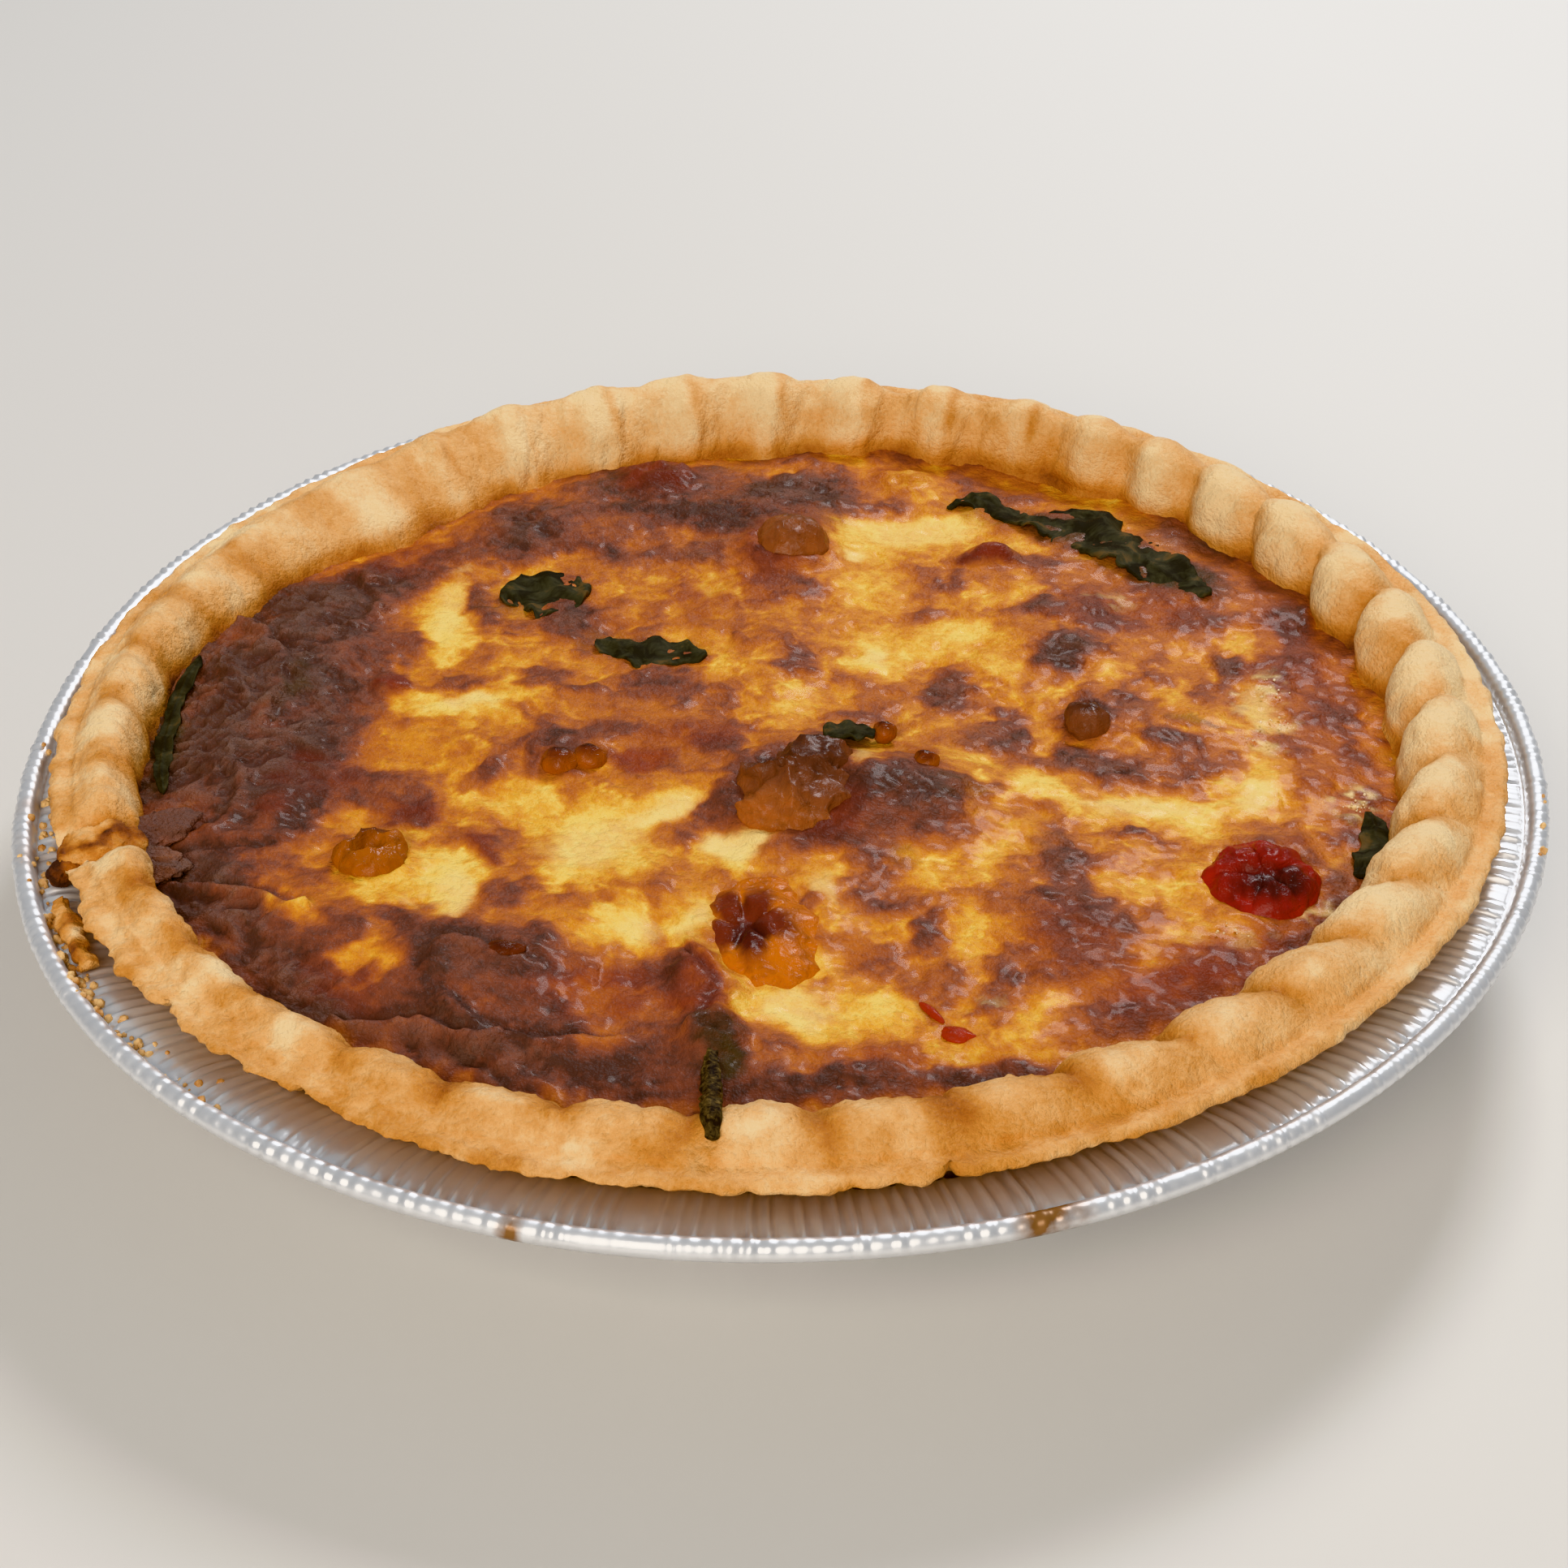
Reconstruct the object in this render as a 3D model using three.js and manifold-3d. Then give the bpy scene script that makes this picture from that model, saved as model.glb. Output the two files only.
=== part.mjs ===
// A nine-inch quiche, baked and sold in its own fluted foil pan.
// Millimetres, +Z up. The origin is the centre of the pan's flat base, on the
// surface that it stands on. Azimuths are in degrees from +X, counter-clockwise
// seen from above, and the side that faces -Y is called the front.
import * as THREE from "three";
import { mergeVertices } from "three/addons/utils/BufferGeometryUtils.js";
import Module from "manifold-3d";

// ---------------------------------------------------------------- dimensions

const GAP = 0.3; // air left between pieces that touch

const PAN = {
  baseRadius: 88,
  wallTopRadius: 106,
  rimRadius: 122, // over the rolled bead
  depth: 27, // base to the start of the flange
  flangeRise: 2.2, // the flange climbs this much on its way out
  foil: 0.45,
  beadRadius: 1.6,
  flutes: 66,
  fluteDepth: 0.6,
};

// The pan is pushed in on its left side.
const DENT = { azimuth: 172, halfWidth: 58, depth: 4.8 };

const PASTRY = {
  thickness: 4.5,
  crimps: 39,
  firstCrevice: 125.6, // azimuth; the others follow clockwise
  stepsPerCrimp: 5,
};

// Across the rim from the filling to the underside of the lip: radius, height,
// how far a crimp of unit swell moves the point outwards and upwards, and how
// much of FOOT_REACH and of LIP_REACH the point takes.
const RIM_SECTION = [
  [97.4, 30.6, 0.0, 0.0, 1.0, 0.0],
  [98.6, 32.6, -0.7, 0.1, 0.8, 0.0],
  [100.2, 35.3, -1.1, 0.4, 0.5, 0.0],
  [102.4, 37.8, -0.7, 0.8, 0.2, 0.1],
  [105.0, 38.8, 0.0, 1.0, 0.0, 0.3],
  [107.5, 37.9, 0.3, 0.8, 0.0, 0.5],
  [109.7, 36.0, 0.4, 0.4, 0.0, 0.8],
  [111.2, 34.7, 0.1, 0.0, 0.0, 1.0],
  [113.6, 35.2, 0.0, 0.0, 0.0, 1.0],
  [114.2, 33.7, 0.0, 0.0, 0.0, 1.0],
  [110.8, 31.8, 0.0, 0.0, 0.0, 0.6],
];
const CREST_STATION = 4; // index in RIM_SECTION of the highest point

// Values that change round the rim, as [azimuth, value].
const CRIMP_SWELL = [
  [0, 3.0], [35, 2.9], [65, 2.4], [90, 2.0], [125, 1.4], [165, 1.1],
  [215, 1.1], [250, 1.3], [285, 1.6], [315, 2.2], [340, 2.8],
];
// Where the crest of a crimp lies, from the crevice on its counter-clockwise side.
const CREST_PLACE = [
  [0, 0.58], [60, 0.5], [180, 0.5], [250, 0.6], [290, 0.72], [325, 0.7],
];
const CREST_LIFT = [
  [0, 0.3], [20, 0.4], [54, 1.3], [77, 0.7], [98, 2.0], [118, 0.8], [133, -1.5],
  [152, -1.9], [180, -1.0], [208, -1.9], [232, -2.6], [253, -1.9], [270, -0.7],
  [290, -0.3], [320, -0.2],
];
const FOOT_REACH = [
  [0, 2.4], [45, 1.8], [62, 1.8], [76, 0.0], [92, -2.8], [112, -4.4], [134, -7.4],
  [150, -2.6], [174, 1.6], [195, 1.0], [230, 0.2], [315, 0.4], [335, 2.2],
];
const LIP_REACH = [
  [0, 0.6], [60, 0.2], [110, -0.5], [140, -1.9], [172, -2.3], [200, -2.0], [231, -1.4],
  [250, -0.2], [300, 0.0], [340, 0.8],
];

// The crust has burst open on the left, and egg has baked out over the break.
const BURST = {
  azimuth: 200.5,
  halfWidth: 4.5,
  drop: 4.4,
  egg: { x: -95.8, y: -35.2, z: 31.8, radii: [8.2, 4.4, 4.2], turn: 24 },
};

const FILLING = {
  level: 30.2,
  edgeFall: 1.3, // the surface sinks this much on its way to the crust
  edgeFrom: 85,
  edgeTo: 97,
  noise: [
    { size: 22, height: 0.9 },
    { size: 9, height: 0.45 },
  ],
  rings: 9,
  segments: 60,
};

// Mounds and hollows of the baked surface: centre, half-widths, height.
const MOUNDS = [
  { x: 21, y: -21, rx: 13, ry: 11, height: 3.2 }, // a tomato under the skin
  { x: 8, y: -20, rx: 15, ry: 15, height: 1.6 },
  { x: 4, y: 57, rx: 11, ry: 10, height: 1.5 },
  { x: -42, y: -62, rx: 14, ry: 10, height: 2.2 },
  { x: -84, y: 4, rx: 12, ry: 34, height: 1.5 },
  { x: -66, y: -55, rx: 16, ry: 10, height: 1.2 },
  { x: 44, y: -56, rx: 9, ry: 14, height: 1.3 },
  { x: 50, y: 24, rx: 9, ry: 8, height: 1.0 },
  { x: 39, y: 53.5, rx: 5, ry: 3.4, height: 2.0 }, // a scrap of tomato
  { x: -22, y: 68, rx: 26, ry: 9, height: 1.2 },
  { x: -24, y: -30, rx: 15, ry: 10, height: -0.9 },
  { x: 8, y: -75, rx: 10, ry: 6, height: -0.8 },
  { x: 28, y: 66, rx: 13, ry: 8, height: -0.7 },
];

// Small beads of tomato and egg that belong to the surface.
const BEADS = [
  { x: -33.0, y: -11.4, radii: [2.6, 2.4, 2.6] },
  { x: -28.4, y: -10.6, radii: [2.4, 2.3, 2.4] },
  { x: 24.4, y: -15.8, radii: [2.2, 2.2, 2.0], lift: 2.6 },
  { x: 17.8, y: -6.6, radii: [1.9, 2.3, 2.6], lift: 1.2 },
  { x: -39.0, y: -61.0, radii: [2.6, 2.2, 1.6], lift: 1.8 },
  { x: 25.4, y: -77.4, radii: [2.4, 1.2, 1.1] }, // a chip of red pepper
];

// Tomatoes that stand out of the surface, sunk to a little under their middle.
const TOMATOES = [
  { name: "red_tomato", x: 72.2, y: -45.2, radii: [8.8, 8.3, 5.0], top: 34.8,
    wrinkles: 9, depth: 0.06, hollow: 0.22, turn: 10, colour: 0x8c1a12 },
  { name: "orange_tomato", x: -1.4, y: -54.8, radii: [7.6, 12.8, 4.6], top: 34.0,
    wrinkles: 5, depth: 0.07, hollow: 0.3, turn: 8, colour: 0xc85a14 },
  { name: "browned_tomato", x: 4.6, y: -21.3, radii: [9.6, 11.8, 7.4], top: 37.4,
    wrinkles: 4, depth: 0.05, hollow: 0, turn: -25, colour: 0x5e2514 },
  { name: "back_tomato", x: 4.2, y: 56.6, radii: [6.9, 6.6, 6.4], top: 36.6,
    wrinkles: 3, depth: 0.04, hollow: 0, turn: 0, colour: 0x7a2c12 },
  { name: "tomato_bead", x: 50.8, y: -1.6, radii: [3.8, 3.9, 4.2], top: 34.4,
    wrinkles: 3, depth: 0.04, hollow: 0, turn: 0, colour: 0x6a1e10 },
  { name: "tomato_curl", x: -59.6, y: -36.6, radii: [5.4, 5.4, 3.4], top: 33.4,
    wrinkles: 3, depth: 0.12, hollow: 0.1, turn: 30, colour: 0xb0540e },
];

const ROOT = 2.2; // how far the tomatoes reach under the surface

// Spinach leaves on the surface: [x, y, half-width] along each midrib.
const LEAF_THICKNESS = 0.9;
const LEAF_ROOM = 0.6; // air round a leaf, which bends a little between its corners
const LEAF_ROOM_HEIGHT = 5; // the room is open upwards, through the skin of the filling
const LEAVES = [
  { name: "leaf_left", ripple: 0.5, lift: 0.9,
    midrib: [[-46.4, 41.2, 2.8], [-41.8, 42.3, 5.8], [-36.6, 42.0, 6.2], [-31.4, 40.2, 3.4]] },
  { name: "leaf_strip", ripple: 0.4, lift: 0.8,
    midrib: [[-29.0, 26.0, 1.6], [-23.6, 23.2, 3.0], [-17.6, 21.6, 3.2], [-10.4, 19.8, 1.4]] },
  { name: "leaf_back", ripple: 0.6, lift: 1.1,
    midrib: [[32.6, 70.6, 1.0], [37.6, 74.6, 1.9], [44.5, 69.0, 3.0], [54.5, 64.5, 4.8],
             [62.0, 55.0, 5.6], [68.5, 49.0, 5.0], [75.6, 39.4, 2.0]] },
  { name: "leaf_centre", ripple: 0.3, lift: 2.6,
    midrib: [[10.6, -7.2, 1.8], [13.8, -6.2, 3.0], [16.6, -6.6, 1.6]] },
  { name: "leaf_right", ripple: 0.3, lift: 1.3,
    midrib: [[91.2, -27.0, 1.1], [90.8, -32.3, 2.1], [88.6, -38.2, 2.0], [86.6, -43.0, 0.9]] },
  { name: "leaf_crust", ripple: 0.2, lift: 1.6,
    midrib: [[-94.2, 19.4, 0.8], [-96.2, 10, 1.3], [-96.6, -1, 1.4], [-95.6, -11.5, 1.2],
             [-94.0, -18.5, 0.7]] },
];

// A woody stem lies from the filling over the front of the crust.
const STEM = {
  halfWidth: 1.4,
  halfThickness: 0.8,
  steps: 12,
  route: [
    [-8.6, -76.5, 30.6], [-8.3, -84, 31.0], [-8.1, -91, 31.2], [-8.0, -96, 33.4],
    [-7.9, -100.2, 37.4], [-7.8, -104.2, 38.8], [-7.6, -108.4, 37.2],
  ],
};

// A flake of crust has broken off and lies in the gutter of the pan.
const FLAKE = { azimuthFrom: 204.5, azimuthTo: 213, radius: [114.2, 115.2], halfWidth: 1.5,
  thickness: 1.6, steps: 10 };

const COLOUR = { foil: 0xc9cbcd, crust: 0xe6b26a, filling: 0xc9762c, leaf: 0x2c3324,
  stem: 0x33261a };

// ------------------------------------------------------------------- helpers

const wasm = await Module();
wasm.setup();

const radians = THREE.MathUtils.degToRad;
const mix = THREE.MathUtils.lerp;

// Interpolates a closed table of [azimuth, value] with eased steps.
function around(table, azimuth) {
  const a = ((azimuth % 360) + 360) % 360;
  let i = table.findLastIndex(([at]) => at <= a);
  if (i < 0) i = table.length - 1;
  const [from, low] = table[i];
  const [next, high] = table[(i + 1) % table.length];
  const span = (next - from + 360) % 360;
  const t = ((a - from + 360) % 360) / span;
  return mix(low, high, t * t * (3 - 2 * t));
}

// 1 at the middle azimuth, falling smoothly to 0 at the half-width.
function bellAt(azimuth, middle, halfWidth) {
  const away = Math.abs(((azimuth - middle + 540) % 360) - 180) / halfWidth;
  return away < 1 ? Math.cos((away * Math.PI) / 2) ** 2 : 0;
}

// A repeatable random value from 0 to 1 for a pair of whole numbers.
function scatter(i, j) {
  const s = Math.sin(i * 127.1 + j * 311.7 + 17.3) * 43758.5453;
  return s - Math.floor(s);
}

// Smooth noise from -1 to 1, with cells of unit size.
function noise(x, y) {
  const i = Math.floor(x);
  const j = Math.floor(y);
  const u = THREE.MathUtils.smoothstep(x - i, 0, 1);
  const v = THREE.MathUtils.smoothstep(y - j, 0, 1);
  const low = mix(scatter(i, j), scatter(i + 1, j), u);
  const high = mix(scatter(i, j + 1), scatter(i + 1, j + 1), u);
  return 2 * mix(low, high, v) - 1;
}

// A closed surface of rings stacked from one pole to the other. Each ring is
// { count, at }, where at(azimuth) is the point there, and a pole has count 1.
function ringStack(rings) {
  const positions = [];
  const index = [];
  const starts = rings.map(({ count, at }) => {
    const start = positions.length / 3;
    for (let i = 0; i < count; i++) positions.push(...at((360 * i) / count));
    return start;
  });
  for (let k = 0; k + 1 < rings.length; k++) {
    const lower = rings[k].count;
    const upper = rings[k + 1].count;
    const a = (i) => starts[k] + (i % lower);
    const b = (j) => starts[k + 1] + (j % upper);
    let i = 0;
    let j = 0;
    while (i < lower || j < upper) {
      if (j >= upper || (i < lower && (i + 1) / lower <= (j + 1) / upper)) {
        if (lower > 1) index.push(a(i), a(i + 1), b(j));
        i++;
      } else {
        if (upper > 1) index.push(a(i), b(j + 1), b(j));
        j++;
      }
    }
  }
  return new THREE.BufferGeometry()
    .setAttribute("position", new THREE.Float32BufferAttribute(positions, 3))
    .setIndex(index);
}

// A thin closed sheet: point(u, v, side) gives the under face for side 0 and
// the upper face for side 1, and both are split into triangles alike.
function sheet(steps, across, point) {
  const positions = [];
  const index = [];
  const width = across + 1;
  const layer = (steps + 1) * width;
  for (const side of [0, 1])
    for (let i = 0; i <= steps; i++)
      for (let j = 0; j <= across; j++)
        positions.push(...point(i / steps, j / across, side));
  const quad = (a, b, c, d) => index.push(a, b, d, b, c, d);
  for (let i = 0; i < steps; i++)
    for (let j = 0; j < across; j++) {
      const a = i * width + j;
      quad(layer + a, layer + a + width, layer + a + width + 1, layer + a + 1);
      index.push(a, a + 1, a + width, a + width, a + 1, a + width + 1);
    }
  const edge = [];
  for (let i = 0; i < steps; i++) edge.push(i * width);
  for (let j = 0; j < across; j++) edge.push(steps * width + j);
  for (let i = steps; i > 0; i--) edge.push(i * width + across);
  for (let j = across; j > 0; j--) edge.push(j);
  edge.forEach((a, k) => {
    const b = edge[(k + 1) % edge.length];
    quad(a, b, b + layer, a + layer);
  });
  return new THREE.BufferGeometry()
    .setAttribute("position", new THREE.Float32BufferAttribute(positions, 3))
    .setIndex(index);
}

function solidOf(geometry) {
  const bare = geometry.clone();
  bare.deleteAttribute("normal");
  bare.deleteAttribute("uv");
  const merged = mergeVertices(bare, 1e-4);
  return new wasm.Manifold(
    new wasm.Mesh({
      numProp: 3,
      vertProperties: merged.attributes.position.array,
      triVerts: new Uint32Array(merged.index.array),
    }),
  );
}

function geometryOf(solid) {
  const mesh = solid.getMesh();
  return new THREE.BufferGeometry()
    .setAttribute("position", new THREE.BufferAttribute(mesh.vertProperties, 3))
    .setIndex(new THREE.BufferAttribute(mesh.triVerts, 1));
}

// The main body of a solid, without the crumbs that a cut can leave.
function mainBody(solid) {
  return solid.decompose().reduce((a, b) => (b.volume() > a.volume() ? b : a));
}

const root = new THREE.Group();
root.name = "quiche";

function addMesh(name, geometry, colour, roughness, metalness = 0) {
  geometry.computeVertexNormals();
  const material = new THREE.MeshStandardMaterial({ color: colour, roughness, metalness });
  const mesh = new THREE.Mesh(geometry, material);
  mesh.name = name;
  root.add(mesh);
}

// --------------------------------------------------------------------- shape

function polar(azimuth, radius, height) {
  const a = radians(azimuth);
  return [radius * Math.cos(a), radius * Math.sin(a), height];
}

// How far in the dent pushes a point of the pan that has this radius.
function dentAt(azimuth, radius) {
  const reach = THREE.MathUtils.smoothstep(radius, PAN.wallTopRadius, PAN.rimRadius - 4);
  return DENT.depth * reach * bellAt(azimuth, DENT.azimuth, DENT.halfWidth);
}

function foilPan() {
  const { baseRadius, wallTopRadius, rimRadius, depth, flangeRise, foil, beadRadius } = PAN;
  const roll = { radius: rimRadius - beadRadius, height: depth + flangeRise };
  const flangeEnd = roll.radius - beadRadius;
  const ring = (radius, height, fluted, count = 2 * PAN.flutes) => ({
    count,
    at: (azimuth) => {
      const ridge = Math.round((azimuth * 2 * PAN.flutes) / 360) % 2 ? 0.5 : -0.5;
      const push = fluted * PAN.fluteDepth * ridge * Math.SQRT1_2; // out and down alike
      return polar(azimuth, radius - dentAt(azimuth, radius) + push, height - push);
    },
  });
  const bead = [150, 90, 30, -30, -90].map((turn) =>
    ring(
      roll.radius + beadRadius * Math.cos(radians(turn)),
      roll.height + beadRadius * Math.sin(radians(turn)),
      0,
    ),
  );
  const baseCount = PAN.flutes;
  const outside = [
    { count: 1, at: () => [0, 0, 0] },
    ring(baseRadius, 0, 0, baseCount),
    ring(baseRadius + 1.6, 1.2, 0.6),
    ring(wallTopRadius, depth - 1.4, 1),
    ring(wallTopRadius + 2, depth - foil, 1),
    ring(flangeEnd, roll.height - foil, 0.6),
  ];
  const inside = [
    ring(flangeEnd - 0.2, roll.height, 0.6),
    ring(wallTopRadius + 1.6, depth, 1),
    ring(wallTopRadius - 0.4, depth - 1.2, 1),
    ring(baseRadius + 1.2, 1.2 + foil * 0.6, 0.6),
    ring(baseRadius - 0.4, foil, 0, baseCount),
    { count: 1, at: () => [0, 0, foil] },
  ];
  return ringStack([...outside, ...bead.reverse(), ...inside]);
}

// How much a crimp stands out at this azimuth: 0 in a crevice, 1 on a crest.
function crimpAt(azimuth) {
  const turns = ((PASTRY.firstCrevice - azimuth) * PASTRY.crimps) / 360;
  const phase = turns - Math.floor(turns);
  const place = around(CREST_PLACE, azimuth);
  const t = phase < place ? phase / place : (1 - phase) / (1 - place);
  return Math.sin((t * Math.PI) / 2) ** 0.9;
}

function rimPoint(station, azimuth) {
  const [radius, height, outwards, upwards, foot, lip] = RIM_SECTION[station];
  const swell = around(CRIMP_SWELL, azimuth) * (crimpAt(azimuth) - 0.6);
  const reach = foot * around(FOOT_REACH, azimuth) + lip * around(LIP_REACH, azimuth);
  const rise = THREE.MathUtils.smoothstep(height, 31, RIM_SECTION[CREST_STATION][1]);
  const burst = bellAt(azimuth, BURST.azimuth, BURST.halfWidth);
  const lift = rise * (around(CREST_LIFT, azimuth) - BURST.drop * burst);
  return polar(azimuth, radius + reach + outwards * swell, height + upwards * swell + lift);
}

// The pastry's inner wall runs straight from its floor to the foot of the rim.
const SHELL = (() => {
  const clear = PAN.foil + GAP + PAN.fluteDepth / 2;
  const under = PAN.foil + GAP;
  return {
    clear,
    under,
    floor: under + PASTRY.thickness,
    floorRadius: PAN.baseRadius - clear - PASTRY.thickness,
  };
})();

function innerWallRadius(azimuth, height) {
  const [footRadius, footHeight] = RIM_SECTION[0];
  const climb = (height - SHELL.floor) / (footHeight - SHELL.floor);
  return mix(SHELL.floorRadius, footRadius + around(FOOT_REACH, azimuth), climb);
}

function pastryShell() {
  const { crimps, stepsPerCrimp } = PASTRY;
  const { clear, under, floor, floorRadius } = SHELL;
  const ring = (radius, height) => ({
    count: crimps,
    at: (azimuth) => polar(azimuth, radius, height),
  });
  const rim = RIM_SECTION.map((_, station) => ({
    count: crimps * stepsPerCrimp,
    at: (azimuth) => rimPoint(station, azimuth),
  }));
  return ringStack([
    { count: 1, at: () => [0, 0, under] },
    ring(PAN.baseRadius - clear, under),
    ring(PAN.baseRadius + 0.6 - clear, 1.6 + clear),
    ring(PAN.wallTopRadius - 0.9 - clear, PAN.depth - 0.6),
    ring(PAN.wallTopRadius + 0.8, PAN.depth + 1.0),
    ...rim.reverse(),
    ring(floorRadius, floor),
    { count: 1, at: () => [0, 0, floor] },
  ]);
}

// Height of the filling's surface.
function surfaceAt(x, y) {
  let height = FILLING.level;
  for (const { size, height: reach } of FILLING.noise)
    height += reach * noise(x / size + 40, y / size + 40);
  for (const { x: mx, y: my, rx, ry, height: reach } of MOUNDS)
    height += reach * Math.exp(-(((x - mx) / rx) ** 2) - ((y - my) / ry) ** 2);
  const { edgeFrom, edgeTo, edgeFall } = FILLING;
  return height - edgeFall * THREE.MathUtils.smoothstep(Math.hypot(x, y), edgeFrom, edgeTo);
}

function fillingBody() {
  const { rings, segments, level, edgeFall } = FILLING;
  const floor = SHELL.floor + GAP;
  const edge = (azimuth, height) => innerWallRadius(azimuth, height) - 3 * GAP;
  const top = [];
  for (let k = rings; k >= 1; k--)
    top.push({
      count: Math.max(12, Math.round((segments * k) / rings / 6) * 6),
      at: (azimuth) => {
        const radius = edge(azimuth, level - edgeFall) * (k / rings) ** 0.9;
        const [x, y] = polar(azimuth, radius, 0);
        return [x, y, surfaceAt(x, y)];
      },
    });
  return ringStack([
    { count: 1, at: () => [0, 0, floor] },
    { count: segments, at: (azimuth) => polar(azimuth, edge(azimuth, floor), floor) },
    ...top,
    { count: 1, at: () => [0, 0, surfaceAt(0, 0)] },
  ]);
}

// An ellipsoid with its own size, turned about the vertical.
function ellipsoid(radii, [x, y, z], turn = 0, columns = 14, rows = 8) {
  return new THREE.SphereGeometry(1, columns, rows)
    .rotateX(Math.PI / 2)
    .scale(...radii)
    .rotateZ(radians(turn))
    .translate(x, y, z);
}

// A tomato shrunk by baking: wrinkles run down its sides, and the top may sink.
// It ends in a flat base, a little way under the surface.
function tomato(spec, grow = 0) {
  const { x, y, radii, top, wrinkles, depth, hollow, turn } = spec;
  const [rx, ry, rz] = radii.map((r) => r + grow);
  const small = radii[0] < 5;
  const count = small ? 10 : 18;
  const base = Math.asin(-Math.min(1, (top - radii[2] - surfaceAt(x, y) + ROOT) / radii[2]));
  const rows = small ? 3 : 4;
  const ring = (k) => {
    const climb = mix(base, Math.PI / 2, k / rows);
    const away = Math.cos(climb);
    return {
      count: k === rows ? 1 : count,
      at: (azimuth) => {
        const a = radians(azimuth);
        const fold = Math.cos(wrinkles * a + 1.3 * Math.sin(2 * a));
        const size = 1 + depth * fold * Math.sin(Math.PI * away) ** 0.5;
        const sink = hollow * Math.exp(-((away / 0.45) ** 2));
        const px = rx * size * away * Math.cos(a);
        const py = ry * size * away * Math.sin(a);
        const height = rz * (Math.sin(climb) - (k ? sink : 0)) - (k ? 0 : grow);
        const t = radians(turn);
        return [
          x + px * Math.cos(t) - py * Math.sin(t),
          y + px * Math.sin(t) + py * Math.cos(t),
          top - radii[2] + height,
        ];
      },
    };
  };
  const rings = Array.from({ length: rows + 1 }, (_, k) => ring(k));
  const [, , low] = rings[0].at(0);
  return ringStack([{ count: 1, at: () => [x, y, low] }, ...rings]);
}

// A leaf that lies on the surface. With grow it is the room that it takes up.
function leaf({ midrib, ripple, lift }, grow = 0) {
  const middle = new THREE.SplineCurve(midrib.map(([x, y]) => new THREE.Vector2(x, y)));
  const widths = new THREE.SplineCurve(midrib.map(([, , w], i) => new THREE.Vector2(i, w)));
  return sheet(midrib.length * 2, 3, (u, v, side) => {
    const along = mix(-grow / 20, 1 + grow / 20, u);
    const centre = middle.getPoint(THREE.MathUtils.clamp(along, 0, 1));
    const tangent = middle.getTangent(THREE.MathUtils.clamp(along, 0.001, 0.999));
    centre.addScaledVector(tangent, (along < 0 ? -1 : along > 1 ? 1 : 0) * grow);
    const width = widths.getPoint(THREE.MathUtils.clamp(along, 0, 1)).y + grow;
    const across = (2 * v - 1) * width;
    const x = centre.x - tangent.y * across;
    const y = centre.y + tangent.x * across;
    const curl = ripple * Math.sin(along * 19 + v * 4) * Math.abs(2 * v - 1);
    const under = surfaceAt(x, y) + lift - LEAF_THICKNESS + curl;
    const over = under + (grow ? LEAF_ROOM_HEIGHT : LEAF_THICKNESS);
    return [x, y, side ? over : under - grow];
  });
}

function stem(grow = 0) {
  const points = STEM.route.map((p) => new THREE.Vector3(...p));
  if (grow) {
    points[0].y += grow;
    points.at(-1).y -= grow;
  }
  const section = new THREE.Shape();
  section.absellipse(0, 0, STEM.halfThickness + grow, STEM.halfWidth + grow, 0, 2 * Math.PI);
  return new THREE.ExtrudeGeometry(section, {
    steps: STEM.steps,
    curveSegments: 4,
    extrudePath: new THREE.CatmullRomCurve3(points),
  });
}

function crustFlake() {
  const { azimuthFrom, azimuthTo, radius, halfWidth, thickness, steps } = FLAKE;
  const flange = PAN.depth + PAN.flangeRise;
  return sheet(steps, 3, (u, v, side) => {
    const azimuth = mix(azimuthTo, azimuthFrom, u);
    const taper = 0.35 + 0.65 * Math.sin(Math.PI * mix(0.08, 0.92, u)) ** 0.6;
    const rough = 0.35 * noise(u * 9, v * 5 + 3);
    const place = mix(radius[1], radius[0], u) + (2 * v - 1) * halfWidth * taper + rough;
    const crown = 0.6 * Math.sin(Math.PI * v) + 0.3 * noise(u * 7 + 5, v * 3);
    const under = flange + PAN.fluteDepth / 2 + GAP + 0.2;
    return polar(azimuth, place, side ? under + thickness + crown : under);
  });
}

// ------------------------------------------------------------------ assembly

const leaves = LEAVES.map((spec) => ({ spec, room: solidOf(leaf(spec, LEAF_ROOM)) }));
const { egg } = BURST;
const eggPlace = [egg.x, egg.y, egg.z];
const grown = egg.radii.map((r) => r + GAP);

let filling = solidOf(fillingBody());
filling = filling.add(solidOf(ellipsoid(egg.radii, eggPlace, egg.turn)));
for (const { x, y, radii, lift = 0.6 } of BEADS) {
  const centre = [x, y, surfaceAt(x, y) + radii[2] * 0.5 * lift];
  filling = filling.add(solidOf(ellipsoid(radii, centre, 0, 10, 6)));
}
for (const spec of TOMATOES) filling = filling.subtract(solidOf(tomato(spec, GAP)));
for (const { room } of leaves) filling = filling.subtract(room);
filling = filling.subtract(solidOf(stem(GAP)));

let pastry = solidOf(pastryShell());
pastry = pastry.subtract(solidOf(ellipsoid(grown, eggPlace, egg.turn)));
pastry = pastry.subtract(solidOf(stem(GAP)));

addMesh("foil_tin", foilPan(), COLOUR.foil, 0.3, 1);
addMesh("pastry_shell", geometryOf(mainBody(pastry)), COLOUR.crust, 0.75);
addMesh("filling", geometryOf(mainBody(filling)), COLOUR.filling, 0.45);
for (const spec of TOMATOES) addMesh(spec.name, tomato(spec), spec.colour, 0.25);
for (const { spec } of leaves) {
  const rooms = TOMATOES.map((t) => solidOf(tomato(t, GAP)));
  let cut = solidOf(leaf(spec));
  for (const room of rooms) cut = cut.subtract(room);
  addMesh(spec.name, geometryOf(mainBody(cut)), COLOUR.leaf, 0.6);
}
addMesh("stem", stem(), COLOUR.stem, 0.7);
addMesh("crust_flake", crustFlake(), COLOUR.crust, 0.8);

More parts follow.
